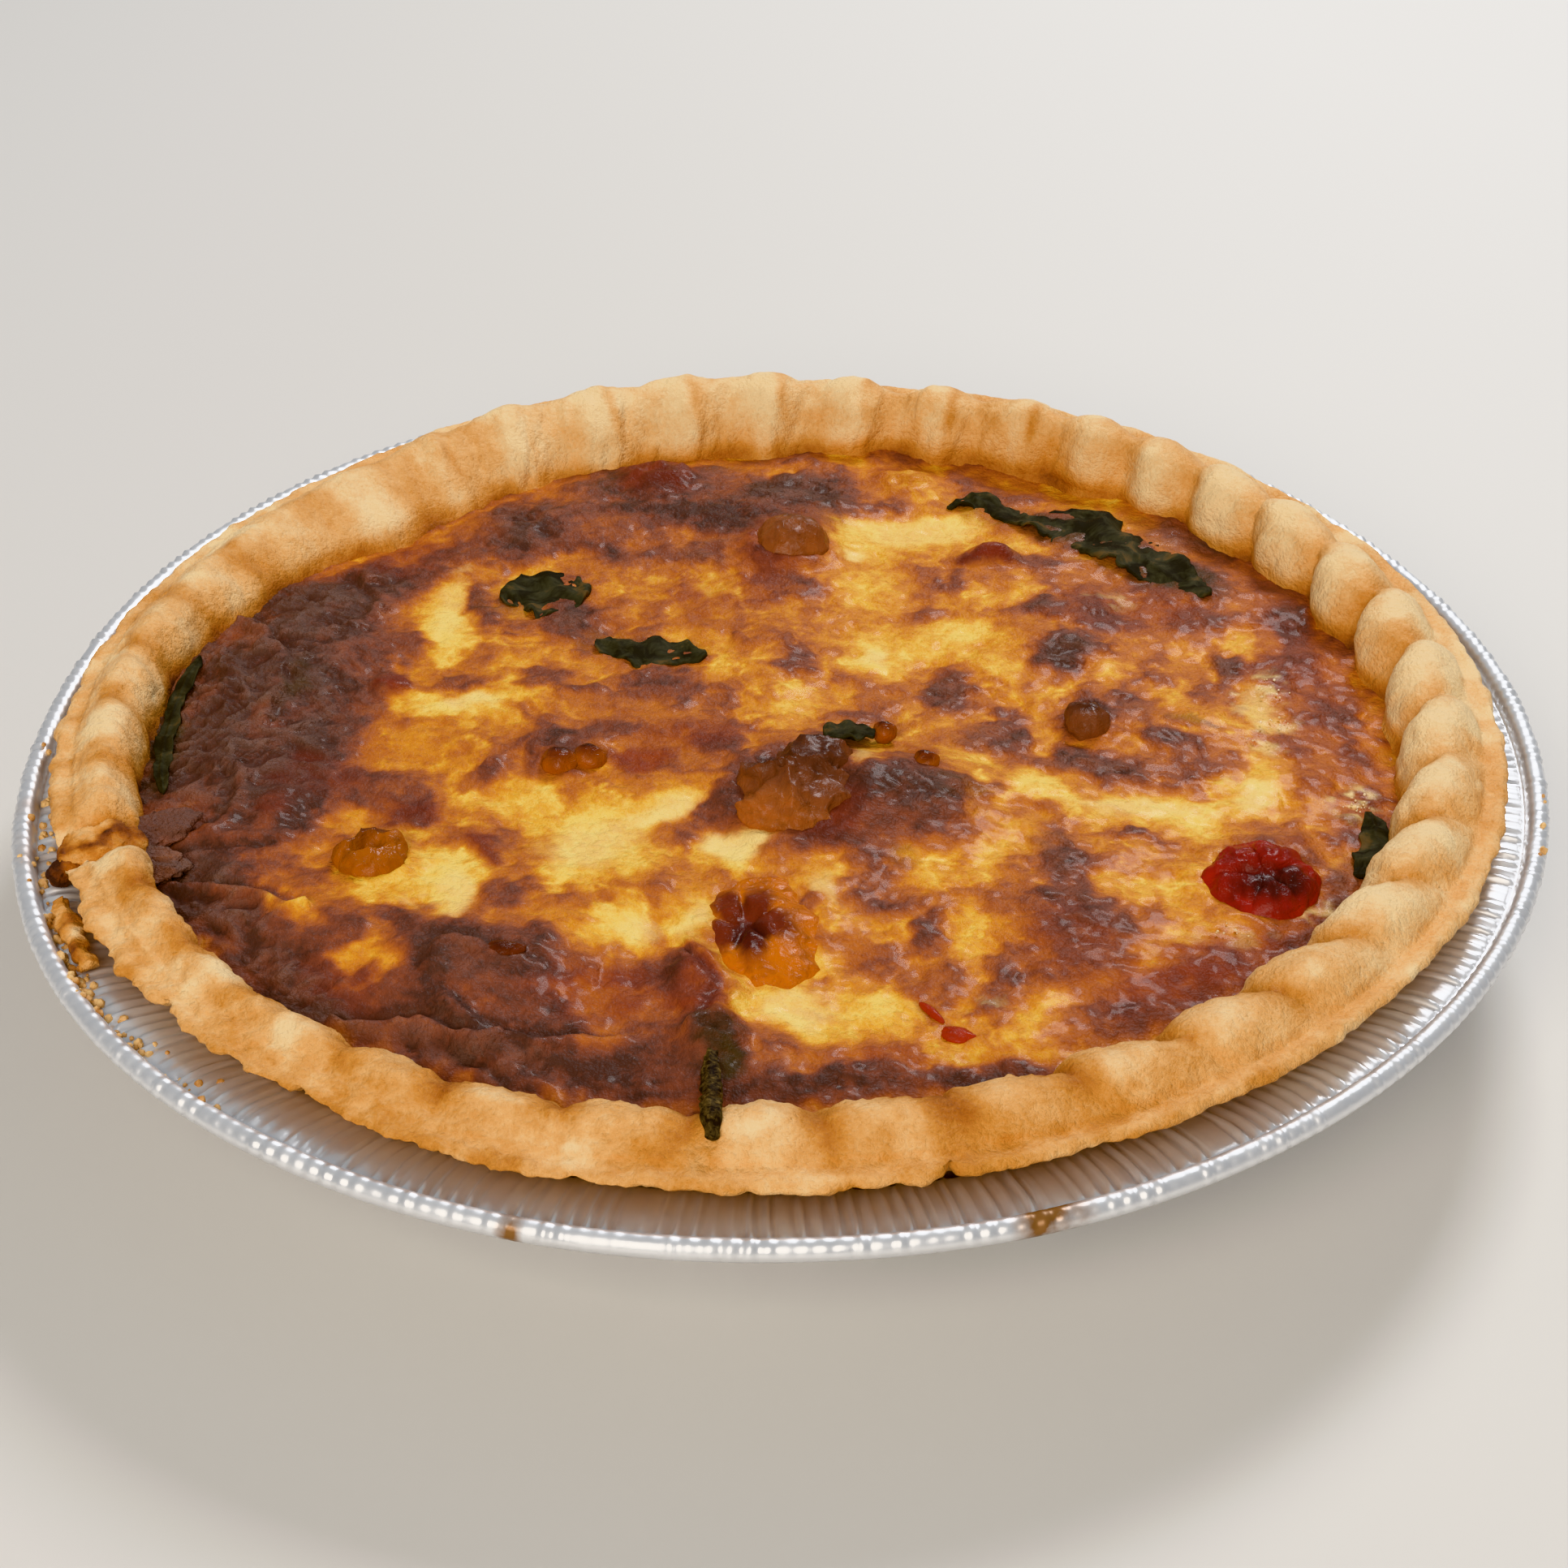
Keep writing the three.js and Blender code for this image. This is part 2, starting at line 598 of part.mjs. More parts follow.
export default root;
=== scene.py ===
"""Dresses a nine-inch quiche in its foil tin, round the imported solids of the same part.

Sizes are in millimetres until a mesh is made, and angles round the rim (azimuths) are in
degrees from +X, counter-clockwise seen from above. The tables that shape the rim and the
filling follow those of the part's own source, so every dressed piece keeps the form of its
solid, with the fine relief that the solids leave out. The numbers that end the calls of the
noise functions are seeds, and no two pieces share one.
"""

from __future__ import annotations

import logging
import math
from dataclasses import dataclass, field
from enum import Enum
from functools import cache
from typing import Mapping, Sequence

import bpy
import numpy as np
from bpy.types import GeometryNodeTree, Material, Node, NodeSocket, NodeTree, Object
from mathutils import Matrix, Vector

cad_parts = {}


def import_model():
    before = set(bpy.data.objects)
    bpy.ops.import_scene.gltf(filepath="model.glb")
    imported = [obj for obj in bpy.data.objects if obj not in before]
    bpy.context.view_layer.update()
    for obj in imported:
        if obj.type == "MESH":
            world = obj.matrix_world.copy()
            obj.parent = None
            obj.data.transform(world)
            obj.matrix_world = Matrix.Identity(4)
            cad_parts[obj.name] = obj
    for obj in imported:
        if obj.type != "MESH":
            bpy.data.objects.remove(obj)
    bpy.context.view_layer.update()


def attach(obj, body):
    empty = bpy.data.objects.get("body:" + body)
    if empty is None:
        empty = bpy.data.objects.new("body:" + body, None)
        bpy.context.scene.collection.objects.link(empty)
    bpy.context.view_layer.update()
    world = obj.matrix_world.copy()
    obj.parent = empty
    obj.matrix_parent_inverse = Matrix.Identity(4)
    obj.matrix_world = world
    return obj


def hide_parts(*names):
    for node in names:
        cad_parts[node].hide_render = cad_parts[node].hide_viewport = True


LOG = logging.getLogger("quiche")
MM = 0.001  # metres in a millimetre
BODY = "root"  # the part has no joints, so everything is one body

Array = np.ndarray
Table = Sequence[tuple[float, float]]  # values round the rim, as (azimuth, value)
Rows = tuple[tuple[float, ...], ...]
Ramp = tuple[tuple[float, str], ...]  # places from 0 to 1 and their sRGB colours
Faces = list[tuple[int, ...]]  # the vertices of each face
Setting = object  # a socket's value, or the socket that feeds it
Inputs = Mapping[str, Setting]


# ---- numbers and noise


def per_mm(size: float) -> float:
    """Scale of a texture on metre coordinates whose features are this many mm across."""
    return 1 / (size * MM)


def smoothstep(low: float, high: float, value: Array) -> Array:
    """0 below low, 1 above high, and an eased curve between them."""
    t = np.clip((np.asarray(value, float) - low) / (high - low), 0, 1)
    return t * t * (3 - 2 * t)


def around(table: Table, azimuth: Array) -> Array:
    """Reads a closed table of (azimuth, value) with eased steps.

    Args:
        table: The pairs, in rising order of azimuth.
        azimuth: Where to read it, in degrees.

    Returns:
        The values there.
    """
    at = np.array([pair[0] for pair in table], float)
    value = np.array([pair[1] for pair in table], float)
    angle = np.mod(azimuth, 360)
    last = np.searchsorted(at, angle, side="right") - 1
    following = (last + 1) % len(at)
    span = np.mod(at[following] - at[last], 360)
    t = np.mod(angle - at[last], 360) / span
    return value[last] + (value[following] - value[last]) * t * t * (3 - 2 * t)


def columns_round(count: int) -> Array:
    """Azimuths of columns that stand evenly round."""
    return np.arange(count) * 360 / count


def bell(azimuth: Array, middle: float, half_width: float) -> Array:
    """1 at the middle azimuth, falling smoothly to 0 at the half-width."""
    away = np.abs(np.mod(azimuth - middle + 180, 360) - 180) / half_width
    return np.where(away < 1, np.cos(np.minimum(away, 1) * math.pi / 2) ** 2, 0)


def polar(azimuth: Array, radius: Array, height: Array) -> Array:
    """Points from places round the tin.

    Args:
        azimuth: Their azimuths.
        radius: How far they are from the Z axis.
        height: How high they are.

    Returns:
        An array whose last axis is x, y, z.
    """
    angle = np.radians(azimuth)
    parts = np.broadcast_arrays(radius * np.cos(angle), radius * np.sin(angle), height)
    return np.stack(parts, axis=-1)


def unit(vectors: Array) -> Array:
    """The same directions with a length of 1."""
    return vectors / np.linalg.norm(vectors, axis=-1, keepdims=True)


def lattice(cells: Sequence[Array], seed: int) -> Array:
    """Repeatable values for whole-number places.

    Args:
        cells: The places' numbers along each axis.
        seed: Which values.

    Returns:
        One value from 0 to 1 for each place.
    """
    mixed = np.uint32(seed * 7919 % 65521 + 1)
    for cell, prime in zip(cells, (374761393, 668265263, 2246822519)):
        mixed = mixed + cell.astype(np.int64).astype(np.uint32) * np.uint32(prime)
    mixed = (mixed ^ (mixed >> np.uint32(13))) * np.uint32(1274126177)
    mixed = (mixed ^ (mixed >> np.uint32(16))) * np.uint32(2654435761)
    return (mixed ^ (mixed >> np.uint32(15))).astype(float) / 2**32


def noise(places: Array, size: float, seed: int) -> Array:
    """Smooth noise from -1 to 1.

    Args:
        places: Points in mm, with 2 or 3 coordinates on the last axis.
        size: Width of its features in mm.
        seed: Which noise.

    Returns:
        One value for each point.
    """
    scaled = places / size
    low = np.floor(scaled)
    part = scaled - low
    ease = part**3 * (part * (part * 6 - 15) + 10)
    total = np.zeros(places.shape[:-1])
    axes = places.shape[-1]
    for corner in range(2**axes):
        step = [(corner >> axis) & 1 for axis in range(axes)]
        weight = np.ones(places.shape[:-1])
        for axis in range(axes):
            share = ease[..., axis]
            weight = weight * (share if step[axis] else 1 - share)
        cells = [low[..., axis] + step[axis] for axis in range(axes)]
        total += weight * lattice(cells, seed)
    return 2 * total - 1


def fractal(places: Array, size: float, octaves: int, seed: int) -> Array:
    """Noise under layers of finer noise, each half as wide and half as strong as the last."""
    layers = (noise(places, size / 2**k, seed + k) / 2**k for k in range(octaves))
    return sum(layers) / (2 - 2.0 ** (1 - octaves))


def ridged(places: Array, size: float, seed: int) -> Array:
    """Noise with sharp folds: 1 along the folds and 0 between them."""
    return 1 - np.sqrt(np.abs(noise(places, size, seed)))


def spline(rows: Array, at: Array) -> Array:
    """Catmull-Rom curve through rows.

    Args:
        rows: One row for each whole number.
        at: Where to read the curve.

    Returns:
        One interpolated row for each place.
    """
    last = len(rows) - 1
    low = np.clip(np.floor(at).astype(int), 0, last - 1)
    t = (at - low)[:, None]
    before, start = rows[np.maximum(low - 1, 0)], rows[low]
    end, after = rows[low + 1], rows[np.minimum(low + 2, last)]
    slope_start, slope_end = (end - before) / 2, (after - start) / 2
    cubic = 2 * (start - end) + slope_start + slope_end
    square = 3 * (end - start) - 2 * slope_start - slope_end
    return start + t * (slope_start + t * (square + t * cubic))


# ---- mesh making


@dataclass
class Shape:
    """Vertices in mm, faces, and named values for each vertex."""

    points: Array
    faces: Faces
    values: dict[str, Array] = field(default_factory=dict)

    def to_object(self, name: str, finish: Finish | None = None) -> Object:
        """Makes a Blender object, at the origin, with its place in its mesh.

        Args:
            name: The object's name.
            finish: What it is made of, unless a tree sees to that.

        Returns:
            The object, linked to the scene.
        """
        mesh = bpy.data.meshes.new(name)
        mesh.from_pydata((self.points * MM).tolist(), [], self.faces)
        for key, value in self.values.items():
            kind = "FLOAT_VECTOR" if value.ndim == 2 else "FLOAT"
            slot = "vector" if value.ndim == 2 else "value"
            layer = mesh.attributes.new(key, kind, "POINT")
            layer.data.foreach_set(slot, np.ascontiguousarray(value, np.float32).ravel())
        mesh.polygons.foreach_set("use_smooth", np.ones(len(mesh.polygons), bool))
        if finish:
            mesh.materials.append(finish.material())
        mesh.update()
        made = bpy.data.objects.new(name, mesh)
        bpy.context.scene.collection.objects.link(made)
        return made


def join_shapes(shapes: Sequence[Shape]) -> Shape:
    """Makes several shapes one.

    Args:
        shapes: The shapes, all with the same named values.

    Returns:
        The joined shape.
    """
    faces: Faces = []
    start = 0
    for shape in shapes:
        faces += [tuple(corner + start for corner in face) for face in shape.faces]
        start += len(shape.points)
    points = np.concatenate([shape.points for shape in shapes])
    keys = shapes[0].values
    return Shape(points, faces, {k: np.concatenate([s.values[k] for s in shapes]) for k in keys})


def stack_rings(rings: Sequence[int]) -> Faces:
    """Faces of a closed surface of rings, stacked from its lower pole to its upper one.

    Args:
        rings: How many vertices each ring has, with 1 for a pole.

    Returns:
        The faces, which point outwards for rings that run counter-clockwise.
    """
    faces: Faces = []
    start = 0
    for lower, upper in zip(rings, rings[1:]):
        above = start + lower
        if lower == upper:
            for i in range(lower):
                j = (i + 1) % lower
                faces.append((start + i, start + j, above + j, above + i))
            start = above
            continue
        i = j = 0
        while i < lower or j < upper:
            lower_next = j >= upper or (i < lower and (i + 1) * upper <= (j + 1) * lower)
            if lower_next:
                if lower > 1:
                    faces.append((start + i, start + (i + 1) % lower, above + j % upper))
                i += 1
            else:
                if upper > 1:
                    faces.append((start + i % lower, above + (j + 1) % upper, above + j))
                j += 1
        start = above
    return faces


def cap_rings(
    grid: Array, low: Sequence[float], high: Sequence[float], **values: tuple[Array, float, float]
) -> Shape:
    """Closes a grid of rings with a pole at each end.

    Args:
        grid: Rings by columns by x, y, z, from the lower ring to the upper.
        low: The lower pole.
        high: The upper pole.
        values: For each name, the grid's values and those of the two poles.

    Returns:
        The closed shape.
    """
    rows, columns = grid.shape[:2]
    poles = np.reshape((low, high), (2, 1, 3))
    points = np.concatenate([poles[0], grid.reshape(-1, 3), poles[1]])
    listed = {}
    for name, (value, first, last) in values.items():
        more = value.shape[2:]
        listed[name] = np.concatenate([
            np.full((1, *more), first), value.reshape(-1, *more), np.full((1, *more), last),
        ])
    return Shape(points, stack_rings([1] + [columns] * rows + [1]), listed)


def grid_normals(points: Array) -> Array:
    """Unit normals of a grid of points whose columns close round the Z axis.

    Args:
        points: Rings by columns by x, y, z, from the lower ring to the upper.

    Returns:
        An array of the same form.
    """
    along = np.roll(points, -1, axis=1) - np.roll(points, 1, axis=1)
    across = np.gradient(points, axis=0)
    normal = np.cross(along, across)
    return normal / np.maximum(np.linalg.norm(normal, axis=-1, keepdims=True), 1e-9)


def hand_over(made: Object, slot: str, *nodes: str) -> None:
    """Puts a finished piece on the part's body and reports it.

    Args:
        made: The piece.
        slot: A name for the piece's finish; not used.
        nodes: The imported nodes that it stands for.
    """
    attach(made, BODY)
    if nodes:
        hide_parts(*nodes)
    triangles = sum(len(face.vertices) - 2 for face in made.data.polygons)
    LOG.info("%s: %d triangles", made.name, triangles)


# ---- node trees


def linear(colour: str) -> tuple[float, float, float, float]:
    """Turns an sRGB colour to linear light.

    Args:
        colour: Hex digits such as #c8702a.

    Returns:
        Its linear red, green and blue, and an alpha of 1.
    """
    parts = [int(colour[i : i + 2], 16) / 255 for i in (1, 3, 5)]
    decoded = [p / 12.92 if p <= 0.04045 else ((p + 0.055) / 1.055) ** 2.4 for p in parts]
    return (*decoded, 1.0)


def add_node(
    tree: NodeTree,
    kind: str,
    inputs: Inputs | None = None,
    stops: Sequence[tuple[float, str]] = (),
    **settings: Setting,
) -> Node:
    """Adds one node with its settings and links.

    Args:
        tree: The tree that it joins.
        kind: Blender's type name of the node.
        inputs: Value or source socket for each input, by its name or identifier.
        stops: Places and hex colours, for a colour ramp.
        settings: The node's own properties.

    Returns:
        The node.
    """
    node = tree.nodes.new(kind)
    for key, value in settings.items():
        setattr(node, key, value)
    for key, value in (inputs or {}).items():
        socket = next(s for s in node.inputs if key in (s.identifier, s.name) and s.enabled)
        if isinstance(value, NodeSocket):
            tree.links.new(value, socket)
        else:
            socket.default_value = value
    if stops:
        ramp = node.color_ramp.elements
        while len(ramp) < len(stops):
            ramp.new(1)
        for element, (place, colour) in zip(ramp, stops):
            element.position = place
            element.color = linear(colour)
    return node


def outlet(
    tree: NodeTree, kind: str, inputs: Inputs | None = None, output: str = "", **settings: Setting
) -> NodeSocket:
    """Adds a node, as add_node does, and gives its first output in use or the one named."""
    node = add_node(tree, kind, inputs, **settings)
    return next(s for s in node.outputs if s.enabled and output in ("", s.name))


def new_tree(name: str, inputs: Mapping[str, tuple[str, Setting]]) -> GeometryNodeTree:
    """A Geometry Nodes tree with a geometry socket each way and named inputs.

    Args:
        name: The tree's name.
        inputs: Socket type and default value of each named input.

    Returns:
        The tree.
    """
    tree = bpy.data.node_groups.new(name, "GeometryNodeTree")
    sockets = tree.interface
    sockets.new_socket("Geometry", in_out="INPUT", socket_type="NodeSocketGeometry")
    sockets.new_socket("Geometry", in_out="OUTPUT", socket_type="NodeSocketGeometry")
    for key, (kind, default) in inputs.items():
        socket = sockets.new_socket(key, in_out="INPUT", socket_type=kind)
        if default is not None:
            socket.default_value = default
    return tree


def end_tree(tree: NodeTree, geometry: NodeSocket, finish: NodeSocket) -> None:
    """Makes the instances of a tree real and gives them their finish.

    Args:
        tree: The tree.
        geometry: What it has made.
        finish: The input that holds the material.
    """
    real = outlet(tree, "GeometryNodeRealizeInstances", {"Geometry": geometry})
    dressed = outlet(tree, "GeometryNodeSetMaterial", {"Geometry": real, "Material": finish})
    add_node(tree, "NodeGroupOutput", {"Geometry": dressed})


def run_tree(source: Object, tree: GeometryNodeTree, values: Inputs) -> None:
    """Runs a Geometry Nodes tree on an object and keeps the result as its plain mesh.

    Args:
        source: The object that the tree starts from.
        tree: The tree.
        values: The tree's inputs by name.
    """
    modifier = source.modifiers.new(tree.name, "NODES")
    modifier.node_group = tree
    for item in tree.interface.items_tree:
        if item.item_type == "SOCKET" and item.in_out == "INPUT" and item.name in values:
            modifier[item.identifier] = values[item.name]
    graph = bpy.context.evaluated_depsgraph_get()
    result = bpy.data.meshes.new_from_object(source.evaluated_get(graph))
    source.modifiers.remove(modifier)
    source.data = result


# ---- finishes


@dataclass
class Canvas:
    """A material being made: its tree, its shader, and where a point is on the piece."""

    material: Material
    tree: NodeTree
    shader: Node
    place: NodeSocket

    @classmethod
    def open(cls, name: str, **constants: Setting) -> Canvas:
        """Starts a material.

        Args:
            name: The material's name.
            constants: Values of the shader that are the same all over, with _ for a space.

        Returns:
            The canvas.
        """
        material = bpy.data.materials.new(name)
        material.use_nodes = True
        tree = material.node_tree
        tree.nodes.clear()
        values = {key.replace("_", " "): value for key, value in constants.items()}
        shader = add_node(tree, "ShaderNodeBsdfPrincipled", values)
        add_node(tree, "ShaderNodeOutputMaterial", {"Surface": shader.outputs["BSDF"]})
        place = add_node(tree, "ShaderNodeTexCoord").outputs["Object"]
        return cls(material, tree, shader, place)

    def add(
        self, kind: str, inputs: Inputs | None = None, output: str = "", **settings: Setting
    ) -> NodeSocket:
        """Adds a shader node, as outlet does, by its type name without ShaderNode."""
        return outlet(self.tree, "ShaderNode" + kind, inputs, output, **settings)

    def feed(self, name: str, source: NodeSocket) -> None:
        """Links a socket of the shader."""
        self.tree.links.new(source, self.shader.inputs[name])

    def unsettle(self, value: NodeSocket, *textures: tuple[NodeSocket, float]) -> NodeSocket:
        """Makes a value uneven.

        Args:
            value: The value.
            textures: Each texture, with how far it spreads the value in all.

        Returns:
            The uneven value.
        """
        for texture, spread in textures:
            push = self.add("Math", {
                "Value": texture, "Value_001": spread, "Value_002": -spread / 2,
            }, operation="MULTIPLY_ADD")
            value = self.add("Math", {"Value": value, "Value_001": push})
        return value

    def finish(
        self, colour: NodeSocket, height: NodeSocket, strength: float, depth_mm: float
    ) -> Material:
        """Gives the shader its colour and the finest relief.

        Args:
            colour: The surface's colour.
            height: The relief, from 0 for low to 1 for high.
            strength: How much of it shows.
            depth_mm: How deep it is.

        Returns:
            The finished material.
        """
        bump = self.add("Bump", {"Height": height, "Strength": strength, "Distance": depth_mm * MM})
        self.feed("Base Color", colour)
        self.feed("Normal", bump)
        return self.material


class Finish:
    """What a surface is made of."""

    def build(self) -> Material:
        """Makes the material."""
        raise NotImplementedError

    @cache
    def material(self) -> Material:
        """The finish's material, made when it is first used."""
        return self.build()


@dataclass(frozen=True)
class BakedCustard(Finish):
    """Egg custard and cheese, oven-browned in patches, with a thin film of fat on it."""

    mottle_mm: float = 1.8
    grain_mm: float = 0.7
    browning: Ramp = (
        (0.00, "#efcc6a"), (0.12, "#e5af48"), (0.26, "#d48c34"), (0.42, "#bd7032"),
        (0.58, "#a65e36"), (0.74, "#874e3a"), (0.88, "#704538"), (1.00, "#53372e"),
    )
    tints: tuple[tuple[str, str, float], ...] = (  # the piece's value, colour, strength
        ("red", "#8a2a0c", 0.7), ("grey", "#82675d", 0.9), ("green", "#3d3a12", 0.75),
        ("cream", "#f3dc94", 0.9),
    )

    def build(self) -> Material:
        """Browning, with the light and shade painted on the folds and creases, follows the piece's
        own tone, broken up by curds of a few mm.

        Returns:
            The material.
        """
        paint = Canvas.open("baked_custard", IOR=1.42, Coat_Roughness=0.12, Specular_IOR_Level=0.3)
        curd, grain = (
            paint.add("TexNoise", {
                "Vector": paint.place, "Scale": per_mm(size), "Detail": detail,
                "Roughness": 0.6,
            })
            for size, detail in ((self.mottle_mm, 3.0), (self.grain_mm, 2.0))
        )
        tone = paint.add("Attribute", output="Fac", attribute_name="tone")
        tone = paint.unsettle(tone, (curd, 0.3), (grain, 0.2))
        colour = paint.add("ValToRGB", {"Fac": tone}, stops=self.browning)
        for attribute, tint, strength in self.tints:
            amount = paint.add("Attribute", output="Fac", attribute_name=attribute)
            amount = paint.add("Math", {"Value": amount, "Value_001": strength},
                               operation="MULTIPLY", use_clamp=True)
            colour = paint.add("Mix", {
                "Factor": amount, "A": colour, "B": linear(tint),
            }, data_type="RGBA")
        dry = paint.add("Attribute", output="Fac", attribute_name="grey")
        fine = paint.add("Math", {"Value": grain, "Value_001": 0.45}, operation="MULTIPLY")
        relief = paint.add("Math", {"Value": curd, "Value_001": fine})
        shrunk = paint.add("Math", {
            "Value": dry, "Value_001": 1.6, "Value_002": 1.0,
        }, operation="MULTIPLY_ADD")
        relief = paint.add("Math", {"Value": relief, "Value_001": shrunk}, operation="MULTIPLY")
        for socket, fatty, dried in (("Roughness", 0.56, 0.66), ("Coat Weight", 0.07, 0.0)):
            paint.feed(socket, paint.add("MapRange", {
                "Value": dry, "From Max": 0.7, "To Min": fatty, "To Max": dried,
            }))
        return paint.finish(colour, relief, strength=0.85, depth_mm=0.75)


@dataclass(frozen=True)
class BakedPastry(Finish):
    """Shortcrust, hand-crimped and baked: dry and matt, with fine blisters and a darker edge."""

    roughness: float = 0.56
    blister_mm: float = 4.5
    crumb_mm: float = 0.7
    toast: Ramp = (
        (0.00, "#f4d5a2"), (0.24, "#e7b274"), (0.44, "#d2914a"), (0.66, "#b06a2a"),
        (0.86, "#783e1a"), (1.00, "#432415"),
    )

    def build(self) -> Material:
        """Toasting, with the light and shade painted on the crimps, follows the piece's own value,
        broken up by blisters and crumb.

        Returns:
            The material.
        """
        paint = Canvas.open("baked_shortcrust", Roughness=self.roughness, IOR=1.4,
                            Specular_IOR_Level=0.4)
        blister, crumb = (
            paint.add("TexNoise", {
                "Vector": paint.place, "Scale": per_mm(size), "Detail": detail,
                "Roughness": sharpness,
            })
            for size, detail, sharpness in ((self.blister_mm, 4.0, 0.6), (self.crumb_mm, 3.0, 0.65))
        )
        toast = paint.add("Attribute", output="Fac", attribute_name="toast")
        toast = paint.unsettle(toast, (blister, 0.4), (crumb, 0.3))
        colour = paint.add("ValToRGB", {"Fac": toast}, stops=self.toast)
        relief = paint.add("Math", {"Value": blister, "Value_001": crumb})
        return paint.finish(colour, relief, strength=0.75, depth_mm=0.7)


@dataclass(frozen=True)
class RolledFoil(Finish):
    """Thin rolled aluminium, pressed into pleats: bright, with smears of baked-on fat."""

    metal: str = "#e9eaec"
    smear: str = "#8a6238"
    cloud_mm: float = 5
    scratch_mm: float = 1.5

    def build(self) -> Material:
        """Rolling leaves the gloss uneven; smears hide the metal where the piece says so.

        Returns:
            The material.
        """
        paint = Canvas.open("rolled_aluminium_foil")
        cloud, scratch = (
            paint.add("TexNoise", {"Vector": paint.place, "Scale": per_mm(size), "Detail": detail})
            for size, detail in ((self.cloud_mm, 4.0), (self.scratch_mm, 2.0))
        )
        smudge = paint.add("Attribute", output="Fac", attribute_name="smudge")
        spots = paint.add("Math", {"Value": smudge, "Value_001": cloud}, operation="MULTIPLY")
        cover = paint.add("MapRange", {"Value": spots, "From Min": 0.16, "From Max": 0.42})
        colour = paint.add("Mix", {
            "Factor": cover, "A": linear(self.metal), "B": linear(self.smear),
        }, data_type="RGBA")
        paint.feed("Metallic", paint.add("MapRange", {
            "Value": cover, "To Min": 0.72, "To Max": 0.25,
        }))
        paint.feed("Roughness", paint.add("MapRange", {
            "Value": cloud, "From Min": 0.3, "From Max": 0.7, "To Min": 0.28, "To Max": 0.46,
        }))
        return paint.finish(colour, scratch, strength=0.25, depth_mm=0.12)


@dataclass(frozen=True)
class BakedTomato(Finish):
    """Tomato shrunk in the oven: wet flesh under a wrinkled skin that shines."""

    name: str
    flesh: str
    skin: str
    char: str
    roughness: float
    pulp_mm: float = 2.2

    def build(self) -> Material:
        """Flesh, skin and char follow the piece's own values, mottled by the pulp.

        Returns:
            The material.
        """
        paint = Canvas.open(self.name, Roughness=self.roughness, IOR=1.4, Coat_Weight=0.1,
                            Coat_Roughness=0.14, Specular_IOR_Level=0.3, Subsurface_Weight=0.08,
                            Subsurface_Scale=2 * MM)
        pulp = paint.add("TexNoise", {
            "Vector": paint.place, "Scale": per_mm(self.pulp_mm), "Detail": 4.0,
            "Roughness": 0.6, "Distortion": 0.6,
        })
        spread = paint.add("Math", {
            "Value": pulp, "Value_001": 0.7, "Value_002": -0.35,
        }, operation="MULTIPLY_ADD")
        colour: Setting = linear(self.flesh)
        for attribute, tint in (("skin", self.skin), ("char", self.char)):
            amount = paint.add("Attribute", output="Fac", attribute_name=attribute)
            amount = paint.add("Math", {"Value": amount, "Value_001": spread}, use_clamp=True)
            colour = paint.add("Mix", {
                "Factor": amount, "A": colour, "B": linear(tint),
            }, data_type="RGBA")
        return paint.finish(colour, pulp, strength=0.8, depth_mm=0.9)


@dataclass(frozen=True)
class PlantMatter(Finish):
    """Leaf or stalk dried dark in the oven, leathery, in three tones."""

    name: str
    dark: str
    light: str
    dry: str
    roughness: float = 0.55
    fibre_mm: float = 1.6

    def build(self) -> Material:
        """The tones follow the fibres.

        Returns:
            The material.
        """
        paint = Canvas.open(self.name, Roughness=self.roughness, IOR=1.4, Specular_IOR_Level=0.15)
        fibre = paint.add("TexNoise", {
            "Vector": paint.place, "Scale": per_mm(self.fibre_mm), "Detail": 4.0,
            "Roughness": 0.65, "Distortion": 0.5,
        })
        colour = paint.add("ValToRGB", {"Fac": fibre},
                           stops=((0.4, self.dark), (0.56, self.light), (0.66, self.dry)))
        return paint.finish(colour, fibre, strength=0.6, depth_mm=0.4)


@dataclass(frozen=True)
class Crumbs(Finish):
    """Loose bits of pastry, cheese or burnt egg, matt and uneven in colour."""

    name: str
    dark: str
    light: str

    def build(self) -> Material:
        """Each bit is a little lighter or darker than the next.

        Returns:
            The material.
        """
        paint = Canvas.open(self.name, Roughness=0.6)
        shade = paint.add("TexNoise", {"Vector": paint.place, "Scale": per_mm(2.5), "Detail": 2.0})
        paint.feed("Base Color", paint.add("ValToRGB", {"Fac": shade}, stops=(
            (0.35, self.dark), (0.65, self.light))))
        return paint.material


@dataclass(frozen=True)
class PaleTable(Finish):
    """Smooth painted board under the tin: pale, even and matt."""

    colour: str = "#d8d5d0"

    def build(self) -> Material:
        """One even colour: it is only the stage.

        Returns:
            The material.
        """
        paint = Canvas.open("painted_board", Roughness=0.6)
        paint.shader.inputs["Base Color"].default_value = linear(self.colour)
        return paint.material


CUSTARD = BakedCustard()
PASTRY = BakedPastry()
FOIL = RolledFoil()
RED_TOMATO = BakedTomato("red_tomato_skin", flesh="#a0261a", skin="#7c1d12", char="#431a14",
                         roughness=0.36)
ORANGE_TOMATO = BakedTomato("orange_tomato_flesh", flesh="#c46a08", skin="#74301c",
                            char="#3e140d", roughness=0.36)
BROWN_TOMATO = BakedTomato("browned_tomato_skin", flesh="#a8602f", skin="#7e4a30",
                           char="#4a2a1e", roughness=0.4)
AMBER_TOMATO = BakedTomato("amber_tomato_flesh", flesh="#a65a0e", skin="#66300e",
                           char="#4a200d", roughness=0.26)
PEPPER = BakedTomato("red_pepper", flesh="#a4300f", skin="#7c2010", char="#5a1a0e", roughness=0.4)
BEAD_TOMATO = BakedTomato("dried_tomato_bead", flesh="#a4540f", skin="#70300f",
                          char="#40190d", roughness=0.3)
SPINACH = PlantMatter("dried_spinach", dark="#272319", light="#454334", dry="#645238",
                      roughness=0.7, fibre_mm=5)
